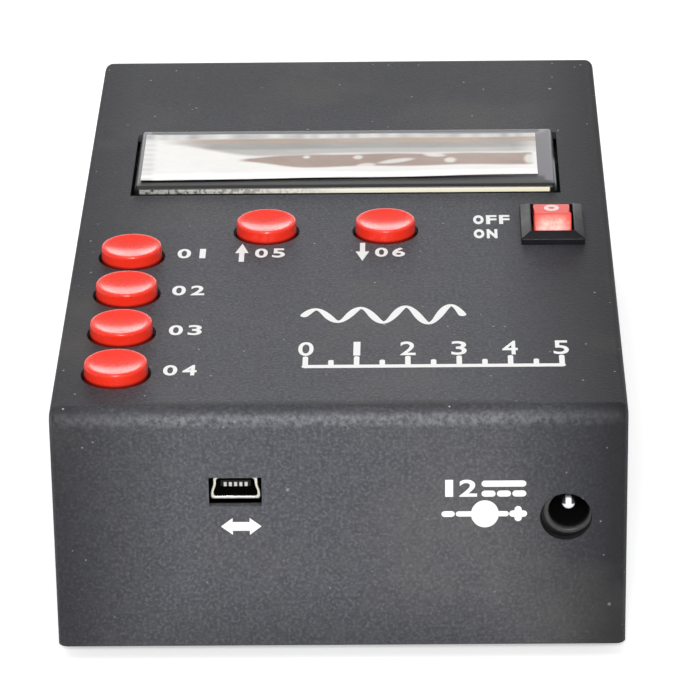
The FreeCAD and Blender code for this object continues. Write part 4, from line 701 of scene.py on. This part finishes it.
outer_rings = stepped(np.vstack([[(0, lid_foot)], lid_bend_profile(0, bend_angle)]),
                      lid_width, lid_depth, lid_bend)
window_rings = lofted([(round_rectangle(view_width, view_depth, view_corner), height)
                       for height in (lid_level, lid_level - lid_sheet)])
inner_rings = stepped(np.vstack([lid_bend_profile(lid_sheet, bend_angle[::-2]),
                                 [(lid_sheet, lid_foot)]]), lid_width, lid_depth, lid_bend)
lid_grid = np.concatenate([outer_rings, window_rings, inner_rings, outer_rings[:1]])

lid_paint, tree = finish("grey_lid_paint", (0.165, 0.158, 0.175), 0.28, Specular_IOR_Level=0.3)
x, y, z = places(tree)
# painted shade: the near strip darker, the bent edges and walls near black, a dark line along
# the far edge behind the film, and a shadow under the film's near edge
near_strip_shade = ramp(y, lcd_low.y + 2.0 * MM, lcd_low.y + 1.6 * MM)
lid_bend_shade = ramp(z, lid_level - 0.02 * MM, lid_level - 0.08 * MM)
far_edge_shadow = product(ramp(y, lcd_high.y - 1.9 * MM, lcd_high.y - 1.7 * MM),
                   between(x, lcd_low.x + 1.8 * MM, lcd_high.x - 2.4 * MM, 0.3 * MM))
film_shade = product(between(y, lcd_low.y + 1.75 * MM, lcd_low.y + 3.8 * MM, 0.25 * MM),
                     between(x, lcd_low.x + 1.0 * MM, lcd_high.x - 1.9 * MM, 0.3 * MM),
                     ramp(x, 12.0 * MM, lcd_high.x, 1.0, 0.6))
rubbed_corner = product(ramp(x, lcd_high.x - 0.45 * MM, lcd_high.x - 0.2 * MM),
                        between(y, lcd_low.y + 1.0 * MM, lcd_low.y + 11.5 * MM, 1.0 * MM),
                        ramp(z, lid_level - 1.4 * MM, lid_level - 1.1 * MM), 0.8)
# unpainted metal on the near wall, coloured near white, partly a painted highlight
bare_wall_highlight = product(ramp(y, lcd_low.y + 0.35 * MM, lcd_low.y + 0.15 * MM),
               between(z, lid_level - 1.3 * MM, lid_level - 0.55 * MM, 0.06 * MM),
               between(x, lcd_low.x + 0.9 * MM, lcd_high.x - 1.2 * MM, 0.1 * MM),
               ramp(x, lcd_low.x, lcd_middle.x, 0.35, 1.0),
               largest(patchy(tree, 0.0007, 0.40, 0.54), ramp(x, lcd_low.x, lcd_middle.x)))
overlay(tree, near_strip_shade, (0.070, 0.068, 0.070))
overlay(tree, largest(lid_bend_shade, film_shade, far_edge_shadow), (0.010, 0.0095, 0.0095))
overlay(tree, rubbed_corner, (0.48, 0.52, 0.54))
overlay(tree, bare_wall_highlight, blend(ramp(x, lcd_low.x, lcd_high.x), (1.0, 0.98, 0.94),
                          (1.0, 0.94, 0.68)))
relief(tree, use(tree, grain, Size=0.0006)["Height"], 0.00001)
add_piece("display_lid", [set_in(lid_grid, (lcd_middle.x, lcd_middle.y, 0))], lid_paint, "case",
          "bezel_paint", ["lcd_bezel"], ends=False)

cell_width, cell_height, cell_pitch_x, cell_pitch_y = (v * MM for v in (2.95, 5.55, 3.55, 5.95))
dot_columns, dot_rows, dot_share = 5, 8, 0.86
glass, tree = finish("display_glass", (0.30, 0.34, 0.24), 0.08, Coat_Weight=1.0,
                     Coat_Roughness=0.04)
x, y, z = places(tree)


def in_cell(along, middle, pitch, size, steps):
    """1 on the dots of a row of characters: the distance along is folded by the pitch, kept
    where it is within the character's size, and folded again into its dots."""
    folded = reckon("MODULO", reckon("ADD", along, pitch * 50.0 - middle), pitch)
    fine = reckon("MODULO", folded, size / steps)
    return product(reckon("LESS_THAN", folded, size),
                   reckon("LESS_THAN", fine, size / steps * dot_share))


overlay(tree, product(in_cell(x, lcd_middle.x, cell_pitch_x, cell_width, dot_columns),
                      in_cell(y, lcd_middle.y, cell_pitch_y, cell_height, dot_rows), 0.3),
        (0.17, 0.20, 0.15))
repaint(glass, "lcd_glass")

film_columns, film_rows, film_sheet, near_skew = 220, 84, 0.05 * MM, 1.7 * MM
across, back = np.meshgrid(np.linspace(0, 1, film_columns), np.linspace(0, 1, film_rows))


def ease(value, low, high):
    """A smooth step: 0 below low, 1 above high, 3t^2 - 2t^3 between."""
    t = np.clip((value - low) / (high - low), 0, 1)
    return t * t * (3 - 2 * t)


# The film's height is two long ripples along it, a curl at the near edge and a lifted end.
# Its near edge runs askew, farther back on the right.
film_rise = (0.05 + 0.04 * np.sin(9 * across + 4 * back) + 0.03 * np.sin(17 * across - 3 * back)
             + 0.16 * ease(back, 0.16, 0.0) + 0.02 * ease(back, 0.9, 1.0)
             + 0.10 * ease(across, 0.05, 0.0)) * MM
film_skew = near_skew * across * (1 - back) - (0.25 + 0.45 * across) * MM * back
film_edge = 0.10 * MM * np.sin(11 * across) * (2 * back - 1)
film_x = film_low.x + across * (film_high.x - film_low.x)
film_y = film_low.y + back * (film_high.y - film_low.y) + film_skew + film_edge
film_top = np.stack([film_x, film_y, film_low.z + 0.06 * MM + film_rise], axis=-1)
film_under = film_top - np.array([0, 0, film_sheet])
film_mesh = polygons("film", [np.concatenate([film_top, film_under[::-1], film_top[:1]])],
                     closed=False, ends=False)
film_points = np.empty(len(film_mesh.vertices) * 3, np.float32)
film_mesh.vertices.foreach_get("co", film_points)
film_points = film_points.reshape(-1, 3)
u = (film_points[:, 0] - film_low.x) / (film_high.x - film_low.x)
near_line = film_low.y + near_skew * u
v = (film_points[:, 1] - near_line) / (film_high.y - near_line)

# The film's pattern is a painted reflection. Where the painted glare gives way, the darker
# display shows through: a brown wedge that opens to the right with painted white glints in
# it, a grey band behind it, and a thin brown fold behind that. A grey mottle of the glare
# lies along its far edge and its left end.
wedge_low = 0.40 - 0.15 * ease(u, 0.23, 0.42) + 0.008 * np.sin(25 * u)
wedge_high = 0.43 + 0.085 * ease(u, 0.22, 0.36) + 0.006 * np.sin(31 * u + 1)
wedge = (ease(v, wedge_low - 0.02, wedge_low + 0.02) * ease(v, wedge_high + 0.025,
                                                           wedge_high - 0.02)
         * ease(u, 0.235, 0.27) * ease(u, 0.994, 0.982))
wedge_glints = np.zeros_like(u)
for glint_u, glint_v, size_u, size_v, tilt in (
        (0.415, 0.475, 0.009, 0.035, 0.0), (0.546, 0.446, 0.012, 0.045, 0.0),
        (0.567, 0.272, 0.024, 0.045, 0.4), (0.643, 0.358, 0.044, 0.045, 0.9),
        (0.740, 0.485, 0.028, 0.045, -0.5), (0.780, 0.360, 0.015, 0.058, 0.0),
        (0.981, 0.370, 0.013, 0.110, 0.0)):
    away = (((u - glint_u) / size_u) ** 2
            + ((v - glint_v - tilt * (u - glint_u)) / size_v) ** 2)
    wedge_glints = np.maximum(wedge_glints, ease(away, 1.6, 0.3))
grey_low = 0.80 - 0.30 * ease(u, 0.02, 0.30) + 0.03 * ease(u, 0.34, 0.50)
grey_band = (ease(v, grey_low - 0.03, grey_low + 0.05) * ease(v, 0.90, 0.86)
             * ease(u, 0.02, 0.18) * (0.72 + 0.24 * ease(v, 0.62, 0.68)
                                      - 0.45 * ease(u, 0.94, 1.0)))
fold = (ease(v, 0.755, 0.80) * ease(v, 0.905, 0.86) * ease(u, 0.03, 0.14)
        * (0.60 + 0.36 * ease(np.abs(u - 0.74), 0.16, 0.03) + 0.10 * np.sin(40 * u)))
glare_mottle = ease(v, 0.86, 0.90) * (0.58 + 0.22 * np.sin(110 * u + 4 * np.sin(13 * u))
                               * np.sin(31 * u + 1) + 0.16 * np.sin(47 * u + 2))
glare_mottle = np.maximum(glare_mottle, ease(u, 0.038, 0.018) * (0.26 + 0.12 * np.sin(60 * v)))

# painted reflection: the film's near-white base colour stands in for the glare on it
film, tree = finish("loose_film_painted_glare", (0.885, 0.873, 0.845), 0.28, Coat_Weight=0.08,
                    Coat_Roughness=0.15)
for label, values, colour in (("glare_mottle", glare_mottle, (0.40, 0.40, 0.405)),
                              ("grey_glare_band", grey_band, (0.29, 0.28, 0.265)),
                              ("fold", fold, (0.45, 0.31, 0.21)),
                              ("display_through_glare", wedge * (1 - 0.72 * wedge_glints), (0.35, 0.245, 0.195))):
    layer = film_mesh.attributes.new(label, "FLOAT", "POINT")
    layer.data.foreach_set("value", values.astype(np.float32))
    painted = tree.nodes.new("ShaderNodeAttribute")
    painted.attribute_name = label
    overlay(tree, painted.outputs["Fac"], colour)
creases = patchy(tree, 0.006, 0.35, 0.7)
feed(ramp(creases, 0.0, 1.0, 1.0, 0.96), shader_socket(tree, "Alpha"))
relief(tree, creases, 0.00004)
add_piece("loose_film_painted_glare", film_mesh, film, "case", "film", ["lcd_film"])

# ---- push buttons ---------------------------------------------------------------------
# Six red moulded caps, each turned in shape: a flange under the cover, a side with a little
# draft, a round rim and a dished top. They push on square stems of black plastic.
keys = ("1", "2", "3", "4", "up", "down")
cap_red = (0.92, 0.030, 0.010)
cap_bottom, cap_top = (corner.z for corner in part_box("button_cap_1"))
cap_flange, cap_flange_height, cap_side, cap_draft = 6.5 * MM, 1.4 * MM, 4.9 * MM, 0.1 * MM
cap_dish, cap_rim_start, cap_rim_round = 0.55 * MM, 4.20 * MM, 0.54 * MM

red_plastic, tree = finish("red_cap_plastic", cap_red, 0.30, Subsurface_Weight=0.06,
                           Subsurface_Scale=0.001, Coat_Weight=0.22, Coat_Roughness=0.12)
overlay(tree, product(use(tree, specks, Size=0.0023, Width=0.03)["Mask"], 0.5),
        (0.35, 0.03, 0.02))
# painted shade: each cap's side darkens towards the cover's top, where it sinks into its hole
cap_hole_shade = ramp(places(tree)[2], top_level + 0.45 * MM, top_level + 0.05 * MM, 0.0, 0.9)
overlay(tree, cap_hole_shade, (0.10, 0.006, 0.005))
vary_roughness(tree, patchy(tree, 0.005, 0.45, 0.75), 0.27, 0.37)
relief(tree, use(tree, grain, Size=0.00025)["Height"], 0.000004)

dish_share = np.linspace(1, 0, 22)[:, None]
dish_profile = dish_share * (cap_rim_start, 0) + (0, 1) * (cap_top - cap_dish
                                                         * (1 - dish_share ** 2))
cap_profile = np.vstack([
    softened([(0, cap_bottom), (cap_flange, cap_bottom),
              (cap_flange, cap_bottom + cap_flange_height),
              (cap_side + cap_draft, cap_bottom + cap_flange_height), (cap_side, cap_top),
              (cap_rim_start, cap_top)], cap_rim_round, 9)[:-1],
    dish_profile])
for name in keys:
    low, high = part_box(f"button_cap_{name}")
    add_piece(f"dished_cap_{name}", [set_in(turned(cap_profile, count=96), (
        (low.x + high.x) / 2, (low.y + high.y) / 2, 0))], red_plastic, f"button_{name}",
        "red_cap", [f"button_cap_{name}"], sharp=50)

black_plastic = two_tone("black_moulded_nylon", (0.009, 0.009, 0.011), (0.022, 0.021, 0.025),
                         (0.004, 0.4, 0.7), (0.28, 0.42), 0.00022, 0.000012, share=0.35,
                         Specular_IOR_Level=0.15)
repaint(black_plastic, *(f"button_stem_{name}" for name in keys), "switch_bases")

# ---- rocker switch --------------------------------------------------------------------
# A black housing snapped in from above, with a sloped frame round a narrow mouth, and a
# glossy red rocker: a shallow V on top, round ends about the pivot, its marks let in white.
# Its sides inside the mouth are coloured dark as painted shade, and its near end is coloured
# pale as a painted sheen.
mouth_width, mouth_length, mouth_throat = 6.9 * MM, 11.0 * MM, 1.4 * MM
chamber_length, chamber_floor = 11.9 * MM, -10.0 * MM
frame_edge, frame_lip = 1.0 * MM, 0.2 * MM
house_low, house_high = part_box("rocker_housing")
house_middle = (house_low + house_high) / 2
frame_width, frame_length = house_high.x - house_low.x, house_high.y - house_low.y
frame_height = house_high.z - top_level
frame_border = (frame_width - mouth_width) / 2
body_width, body_length = 8.8 * MM, 13.4 * MM
slope = softened([(0, 0), (0, frame_edge), (frame_border - frame_lip, frame_height),
                  (frame_border, frame_height), (frame_border, mouth_throat)], 0.16 * MM, 4)
slope_share = (frame_length - mouth_length) / (frame_width - mouth_width)
house_sections = [
    (body_width, body_length, house_low.z - top_level), (body_width, body_length, 0.0),
    (frame_width, frame_length, 0.0),
    *((frame_width - 2 * inset, frame_length - 2 * inset * slope_share, height)
      for inset, height in slope),
    (mouth_width, chamber_length, mouth_throat), (mouth_width, chamber_length, chamber_floor)]
house_grid = lofted([(round_rectangle(width, length, 0.25 * MM), height)
                     for width, length, height in house_sections])
add_piece("rocker_frame", [set_in(house_grid, (house_middle.x, house_middle.y, top_level))],
          black_plastic, "case", "black_nylon", ["rocker_housing"], sharp=40)

pivot = Vector(next(j["pos_m"] for j in frame["joints"] if j["name"] == "rocker_tilt"))
rocker_radius, rocker_valley, rocker_under = 5.6 * MM, 2.6 * MM, 1.0 * MM
rocker_half, rocker_round = 3.05 * MM, 0.3 * MM
hub_radius, hub_reach = 0.8 * MM, 3.85 * MM
rocker_tilt = math.radians(14)
slope_rise = math.tan(rocker_tilt)
end_y = (-rocker_valley * slope_rise + math.sqrt(
    rocker_radius ** 2 * (1 + slope_rise ** 2) - rocker_valley ** 2)) / (1 + slope_rise ** 2)
end_z = rocker_valley + end_y * slope_rise
top_angle, low_angle = math.atan2(end_z, end_y), -math.asin(rocker_under / rocker_radius)
corner_angle, arc_points = 0.06, 20
far_arc = np.linspace(low_angle, top_angle - corner_angle, arc_points)
far_end = rocker_radius * np.column_stack([np.cos(far_arc), np.sin(far_arc)])
corner_far = softened([far_end[-1], (end_y, end_z), (0, rocker_valley)], 0.34 * MM, 6)[1:-1]
valley = softened([(end_y, end_z), (0, rocker_valley), (-end_y, end_z)], 0.5 * MM, 6)[1:-1]
half_profile = np.vstack([far_end, corner_far])
rocker_outline = np.vstack([half_profile, valley, half_profile[::-1] * (-1, 1)])


def inward(outline, distance):
    """An outline moved inwards along its normals, which are the central differences turned
    a quarter."""
    along = np.roll(outline, -1, axis=0) - np.roll(outline, 1, axis=0)
    along /= np.linalg.norm(along, axis=1)[:, None]
    return outline + distance * np.column_stack([-along[:, 1], along[:, 0]])


round_angle = np.linspace(0, np.pi / 2, 6)
rocker_sections = [(inward(rocker_outline, rocker_round - reach), drop - rocker_half)
                   for reach, drop in zip(rocker_round * np.sin(round_angle),
                                          rocker_round * (1 - np.cos(round_angle)))]
rocker_sections += [(outline, -height) for outline, height in rocker_sections[::-1]]
rest_turn = Matrix.Rotation(-rocker_tilt, 3, "X")
hub_grid = turned([(0, -hub_reach), (hub_radius, -hub_reach), (hub_radius, hub_reach),
                   (0, hub_reach)], count=32)

rocker_plastic = two_tone("red_rocker_plastic", (0.803, 0.0659, 0.0552),
                          (0.8594, 0.127, 0.0928), (0.003, 0.42, 0.72), (0.28, 0.42), 0.0002,
                          0.000004, share=0.35, Specular_IOR_Level=0.3)
tree = rocker_plastic.node_tree
x, y, z = places(tree)
aside = offset_from(x, pivot.x)
# painted sheen: the near end is coloured pale in patches
near_facet_sheen = product(between(y, pivot.y - 5.2 * MM, pivot.y - 3.95 * MM, 0.55 * MM),
                  ramp(aside, 3.1 * MM, 1.2 * MM),
                  ramp(patchy(tree, 0.0009, 0.35, 0.6), 0.0, 1.0, 0.34, 0.78))
# painted shade: the sides, inside the mouth, are coloured dark and made rough
flank_shade = ramp(aside, rocker_half + 0.01 * MM, rocker_half + 0.03 * MM)
overlay(tree, near_facet_sheen, (0.90, 0.70, 0.58))
overlay(tree, flank_shade, (0.03, 0.003, 0.003))
gloss = shader_socket(tree, "Roughness")
feed(largest(flank_shade, gloss.links[0].from_socket), gloss)
add_piece("red_rocker", [set_in(grid, pivot, rest_turn @ FACE_RIGHT)
                         for grid in (lofted(rocker_sections), hub_grid)],
          rocker_plastic, "rocker", "rocker_red", ["rocker_button"], sharp=50)


def on_facet(side, share):
    """A point on the rocker's far (1) or near (-1) facet, part of the way from the valley to
    the end, and the axes of that facet at rest."""
    local = Vector((0, side * share * end_y, rocker_valley + share * end_y * slope_rise))
    return pivot + rest_turn @ local, rest_turn @ Matrix.Rotation(side * rocker_tilt, 3, "X")


ring_turn = np.linspace(0, 2 * np.pi, 40, endpoint=False)
ring_grid = np.stack([np.column_stack([half_width * MM * np.cos(ring_turn),
                                       half_height * MM * np.sin(ring_turn),
                                       np.full(len(ring_turn), rise * ink_thickness)])
                      for half_width, half_height, rise in (
                          (1.25, 1.25, -0.2), (1.25, 1.25, 1.0), (0.54, 0.44, 1.0),
                          (0.54, 0.44, -0.2), (1.25, 1.25, -0.2))])
stained_ink = printed("stained_print_ink", (0.86, 0.68, 0.68), (0.60, 0.30, 0.30))
lay_mark("mark_rocker_off", polygons("ring", [ring_grid], ends=False), *on_facet(1, 0.62),
         stained_ink, "rocker")
lay_mark("mark_rocker_on", inked(bar(0, -0.9, 0, 0.9, 0.42)), *on_facet(-1, 0.55),
         stained_ink, "rocker")
repaint(black_plastic, "rocker_plunger")

# ---- power socket ---------------------------------------------------------------------
# A black moulded barrel socket behind the round hole: a block with a bore whose mouth is
# rounded, a plated pin with a blunt tip, and a spring leaf along the bore. The block is coloured
# lighter than the other black nylon, partly worn and partly as painted light on its face;
# painted shade darkens it round its mouth and in its bore. The pin is coloured white as a
# painted highlight, with painted shade on its upper shoulders.
jack_low, jack_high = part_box("dc_jack_body")
jack_axis = (jack_low.x + jack_high.x) / 2
jack_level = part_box("dc_jack_pin")[0].z + 1.0 * MM
jack_width, jack_height = jack_high.x - jack_low.x, jack_high.z - jack_low.z
jack_rise = (jack_high.z + jack_low.z) / 2 - jack_level
jack_bore, jack_mouth, bore_depth, front_depth = 3.15 * MM, 3.9 * MM, 9.6 * MM, 3.4 * MM
back_step, back_width, back_corner, jack_corner = 0.6 * MM, 8.4 * MM, 0.4 * MM, 1.3 * MM


def tube(radius, *heights):
    """Rings of one radius at several heights."""
    return lofted([(round_rectangle(2 * radius, 2 * radius, radius), height)
                   for height in heights])


block_profile = softened([(0, -front_depth), (0, 0), (1.2 * MM, 0)], 0.3 * MM, 4)
mouth_profile = softened([(jack_mouth, 0), (jack_bore, 0), (jack_bore, -bore_depth)],
                         0.45 * MM, 6)
back_outline = round_rectangle(back_width, jack_height - back_step, back_corner,
                               (0, jack_rise + back_step / 2))
jack_grid = np.concatenate([
    lofted([(back_outline, jack_low.y - jack_high.y), (back_outline, -front_depth)]),
    stepped(block_profile, jack_width, jack_height, jack_corner, (0, jack_rise))[:-1],
    *(tube(radius, height) for radius, height in mouth_profile)])
# coloured lighter than the other black nylon, partly worn and partly painted light on its face
jack_plastic = two_tone("worn_and_lit_black_plastic", (0.046, 0.046, 0.048), (0.070, 0.070, 0.072),
                        (0.0018, 0.4, 0.7), (0.36, 0.5), 0.00025, 0.00001,
                        Specular_IOR_Level=0.3)
tree = jack_plastic.node_tree
x, y, z = places(tree)
# painted shade: near black round the mouth and deeper in the bore
overlay(tree, largest(
    ramp(away_from((x, jack_axis), (z, jack_level)), 3.70 * MM, 3.90 * MM),
    ramp(y, jack_low.y + 0.4 * MM, jack_low.y + 1.1 * MM)), (0.004, 0.004, 0.0045))
add_piece("barrel_socket", [set_in(jack_grid, (jack_axis, jack_low.y, jack_level), FACE_FRONT)],
          jack_plastic, "case", "black_nylon", ["dc_jack_body"], sharp=45)


def metal(name, colour, stain, roughness, grain_size=0.0003, depth=0.000004, metallic=1.0):
    """A plated or rolled metal: cloudy stain in its colour and gloss, and fine rolling grain."""
    return two_tone(name, colour, stain, (0.003, 0.42, 0.75), roughness, grain_size, depth,
                    share=0.6, metallic=metallic)


nickel = metal("nickel_plate", (0.78, 0.76, 0.71), (0.62, 0.58, 0.50), (0.16, 0.30))
repaint(nickel, "dc_jack_spring")
# painted highlight: the pin is coloured plain white, not metallic
pin_highlight_paint = metal("pin_painted_highlight", (1.0, 1.0, 1.0), (0.92, 0.92, 0.92), (0.30, 0.36),
                  metallic=0.0)
tree = pin_highlight_paint.node_tree
x, y, z = places(tree)
# painted shade on the pin's upper shoulders, which shapes its painted highlight
overlay(tree, product(ramp(offset_from(x, jack_axis), 0.38 * MM, 0.50 * MM),
                      ramp(z, jack_level - 0.15 * MM, jack_level + 0.05 * MM)),
        (0.05, 0.05, 0.06))
repaint(pin_highlight_paint, "dc_jack_pin")

# ---- data socket ----------------------------------------------------------------------
# A folded, tin-plated steel shell with the usual narrow-shouldered mouth, its front rim
# rounded and its inside coloured dark as painted shade, round a black tongue with five
# gilt contacts.
shell_low, shell_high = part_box("usb_shell")
shell_middle = (shell_low + shell_high) / 2
shell_width, shell_depth, shell_height = (b - a for a, b in zip(shell_low, shell_high))
shell_narrow, shell_sheet = 6.8 * MM, 0.45 * MM
flare_drop, neck_rise = 0.66 * MM, 0.33 * MM


def shell_outline(inset):
    """The mouth's outline, drawn in by an inset: wide below, sloping in to a narrower top."""
    w, n, h = shell_width / 2 - inset, shell_narrow / 2 - inset, shell_height / 2 - inset
    corners = [(0, -h), (w, -h), (w, -flare_drop), (n, neck_rise), (n, h), (-n, h),
               (-n, neck_rise), (-w, -flare_drop), (-w, -h), (0, -h)]
    return softened(corners, 0.55 * MM, 5)[:-1]


rim_profile = softened([(0, -shell_depth), (0, 0), (shell_sheet, 0),
                        (shell_sheet, -shell_depth)], 0.12 * MM, 3)
shell_rings = [(shell_outline(inset), height) for inset, height in rim_profile]
tinned, shell_tin_shaded = (metal(name, (0.92, 0.89, 0.78), (0.76, 0.70, 0.56), (0.24, 0.38), 0.0004,
                           metallic=0.7) for name in ("tin_plate", "socket_tin_painted_shade"))
# painted shade: the shell is coloured dark from just behind its front rim inwards
overlay(shell_tin_shaded.node_tree, ramp(places(shell_tin_shaded.node_tree)[1], shell_low.y + 0.06 * MM,
                                  shell_low.y + 0.35 * MM), (0.012, 0.011, 0.010))
add_piece("socket_shell", [set_in(lofted(shell_rings + shell_rings[:1]), (
    shell_middle.x, shell_low.y, shell_middle.z), FACE_FRONT)], shell_tin_shaded, "case", "tinned",
    ["usb_shell"], ends=False)
gilt = metal("pale_contacts", (0.72, 0.70, 0.66), (0.62, 0.56, 0.42), (0.28, 0.40),
             depth=0.000003, metallic=0.7)
repaint(gilt, "usb_contacts")
repaint(black_plastic, "usb_tongue")

# ---- antenna socket -------------------------------------------------------------------
# A nickel-plated brass coaxial socket on the rear wall: square flange, threaded barrel with
# four locking notches in its rim, white PTFE round a slit brass contact.
socket_low, socket_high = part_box("antenna_socket_shell")
cover_rear = cover_high.y
socket_place = (0, cover_rear, (socket_low.z + socket_high.z) / 2)
flange_side, flange_thick, flange_corner = 25.4 * MM, 2.4 * MM, 1.5 * MM
barrel_radius, barrel_bore, neck_radius = 7.9 * MM, 6.2 * MM, 7.5 * MM
barrel_reach, barrel_floor, floor_hole = socket_high.y - cover_rear, 4.8 * MM, 4.0 * MM
thread_pitch, thread_depth, thread_rows = 1.06 * MM, 0.55 * MM, 100
thread_start, thread_end = 4.2 * MM, barrel_reach - 1.3 * MM
thread_root = barrel_radius - thread_depth
notch_width, notch_depth = 1.6 * MM, 1.0 * MM
FACE_REAR = Matrix(((-1, 0, 0), (0, 0, 1), (0, 1, 0)))

flange_profile = softened([(2.0 * MM, 0), (0, 0), (0, flange_thick), (2.0 * MM, flange_thick)],
                          0.35 * MM, 4)
flange_grid = np.concatenate([
    tube(neck_radius, -3.0 * MM, 0),
    stepped(flange_profile, flange_side, flange_side, flange_corner),
    tube(barrel_radius, flange_thick, flange_thick + 0.4 * MM)])

# The thread is cut into the turned barrel: its depth follows the phase of a helix, height /
# pitch - angle / turn, and fades at both ends. The notches press the rim's points down.
barrel_profile = np.vstack([
    [(barrel_bore, flange_thick), (thread_root, flange_thick)],
    np.column_stack([np.full(thread_rows, barrel_radius),
                     np.linspace(thread_start, thread_end, thread_rows)]),
    softened([(thread_root, thread_end + 0.1 * MM), (thread_root, barrel_reach),
              (barrel_bore, barrel_reach), (barrel_bore, barrel_floor)], 0.25 * MM, 4),
    [(floor_hole, barrel_floor)]])
barrel_grid = turned(barrel_profile, count=160)
angle = np.arctan2(barrel_grid[..., 1], barrel_grid[..., 0])
radius = np.hypot(barrel_grid[..., 0], barrel_grid[..., 1])
height = barrel_grid[..., 2]
phase = np.abs(((height / thread_pitch - angle / (2 * np.pi)) % 1) * 2 - 1)
fade = ease(height, thread_start, thread_start + 1.2 * MM) * ease(height, thread_end,
                                                                 thread_end - 0.8 * MM)
threaded = (height >= thread_start) & (height <= thread_end) & (radius > barrel_bore + MM)
groove = thread_depth * (1 - fade * ease(phase, 0.1, 0.9))
new_radius = np.where(threaded, barrel_radius - groove, radius)
across_notch = np.minimum(np.abs(barrel_grid[..., 0]), np.abs(barrel_grid[..., 1]))
in_notch = (across_notch < notch_width / 2) & (height > barrel_reach - notch_depth)
barrel_grid = np.stack([new_radius * np.cos(angle), new_radius * np.sin(angle),
                        np.where(in_notch, barrel_reach - notch_depth, height)], axis=-1)
add_piece("antenna_socket", [set_in(grid, socket_place, FACE_REAR)
                             for grid in (flange_grid, barrel_grid)],
          nickel, "case", "nickel", ["antenna_socket_shell"])

brass = metal("drawn_brass", (0.80, 0.64, 0.34), (0.62, 0.46, 0.22), (0.22, 0.38))
repaint(brass, "antenna_socket_contact", "rocker_contact_arm", "rocker_terminals",
        "board_standoffs")
ptfe = two_tone("white_ptfe", (0.86, 0.85, 0.81), (0.80, 0.78, 0.72), (0.003, 0.4, 0.7),
                (0.36, 0.5), 0, 0, Subsurface_Weight=0.1, Subsurface_Scale=0.002)
repaint(ptfe, "antenna_socket_insulator")

pan_low, pan_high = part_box("antenna_socket_screws")
pan_radius, pan_height, pan_shank, pan_length = 2.8 * MM, 1.9 * MM, 1.5 * MM, 8.0 * MM
pan_dome_rows, pan_dome_share = 24, 0.86


def pan_screw():
    """A domed head with a cross recess over a shank: height = h (1 - 0.3 (r/R)^2) on top."""
    share = np.linspace(0, pan_dome_share, pan_dome_rows)[:, None]
    dome = share * (pan_radius, 0) + (0, pan_height) * (1 - 0.30 * share ** 2)
    side = softened([tuple(dome[-1]), (pan_radius, pan_height * 0.5), (pan_radius, 0),
                     (pan_shank, 0), (pan_shank, -pan_length), (0, -pan_length)], 0.3 * MM, 4)
    grid = turned(np.vstack([dome, side[1:]]), count=64)
    cross_recess(grid[:pan_dome_rows], reach=1.8 * MM, width=0.8 * MM, depth=1.2 * MM)
    return grid


add_piece("flange_screws", [
    set_in(pan_screw(), (x, cover_rear + flange_thick, z), FACE_REAR)
    for x in (pan_low.x + pan_radius, pan_high.x - pan_radius)
    for z in (pan_low.z + pan_radius, pan_high.z - pan_radius)],
    steel_black, "case", "blackened_steel", ["antenna_socket_screws"])

# ---- boards and what is soldered to them ----------------------------------------------
# Glass-fibre boards under solder mask with copper runs beneath it, their screws and
# spacers, the parts on the lower side, and the wires. All of it lies inside the case. The
# mask is green on the main board and near black on the display board, as painted shade
# where it shows in the gap round the display's lid.
runs_per_metre = 260.0
for name, green, run_green, node in (
        ("green_solder_mask", (0.012, 0.075, 0.035), (0.030, 0.135, 0.060), "main_board"),
        # painted shade: the display board's mask is near black so the gap round its lid shows
        # dark
        ("solder_mask_painted_shade", (0.004, 0.012, 0.008), (0.010, 0.024, 0.016), "lcd_board")):
    board, tree = finish(name, green, 0.28, Coat_Weight=0.4)
    runs = tree.nodes.new("ShaderNodeTexVoronoi")
    runs.distance = "MANHATTAN"
    runs.feature = "F2"
    runs.inputs["Scale"].default_value = runs_per_metre
    feed(tree.nodes.new("ShaderNodeTexCoord").outputs["Object"], runs.inputs["Vector"])
    copper = ramp(runs.outputs["Distance"], 0.62, 0.70)
    overlay(tree, copper, run_green)
    weave = use(tree, grain, Size=0.0004)["Height"]
    relief(tree, reckon("ADD", copper, product(weave, 0.3)), 0.00003)
    repaint(board, node)

zinc = metal("bright_zinc", (0.72, 0.73, 0.74), (0.60, 0.62, 0.58), (0.26, 0.42),
             depth=0.000005)
repaint(zinc, "clinch_nuts", "board_screws", "lcd_screws", "lcd_nuts", "antenna_socket_nuts")
repaint(tinned, "switch_plates", "switch_legs", "switch_domes", "lcd_header_pins")
repaint(black_plastic, "lcd_spacers", "lcd_header_strip")
can = metal("drawn_can", (0.80, 0.80, 0.80), (0.68, 0.68, 0.68), (0.24, 0.36), 0.0004)
repaint(can, "crystal_can", "filter_capacitors")

for name, colour, other, roughness, grain_size, *nodes in (
        ("light_guide_acrylic", (0.80, 0.82, 0.78), (0.72, 0.75, 0.70), (0.22, 0.38), 0.0003,
         "lcd_backlight"),
        ("layered_silicone", (0.42, 0.38, 0.36), (0.20, 0.18, 0.18), (0.52, 0.68), 0.0002,
         "lcd_contact_strips"),
        ("chip_epoxy", (0.030, 0.030, 0.032), (0.045, 0.045, 0.048), (0.47, 0.63), 0.0003,
         "processor_chip", "signal_chip", "amplifier_chips", "voltage_regulators"),
        ("core_ferrite", (0.10, 0.085, 0.075), (0.14, 0.12, 0.10), (0.52, 0.68), 0.0003,
         "toroid_coils"),
        ("red_wire_sleeve", (0.62, 0.05, 0.035), (0.52, 0.04, 0.03), (0.34, 0.50), 0.0003,
         "rocker_leads", "antenna_lead")):
    repaint(two_tone(name, colour, other, (0.003, 0.4, 0.7), roughness, grain_size, 0.00001),
            *nodes)

# ---- end ------------------------------------------------------------------------------
low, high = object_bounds()
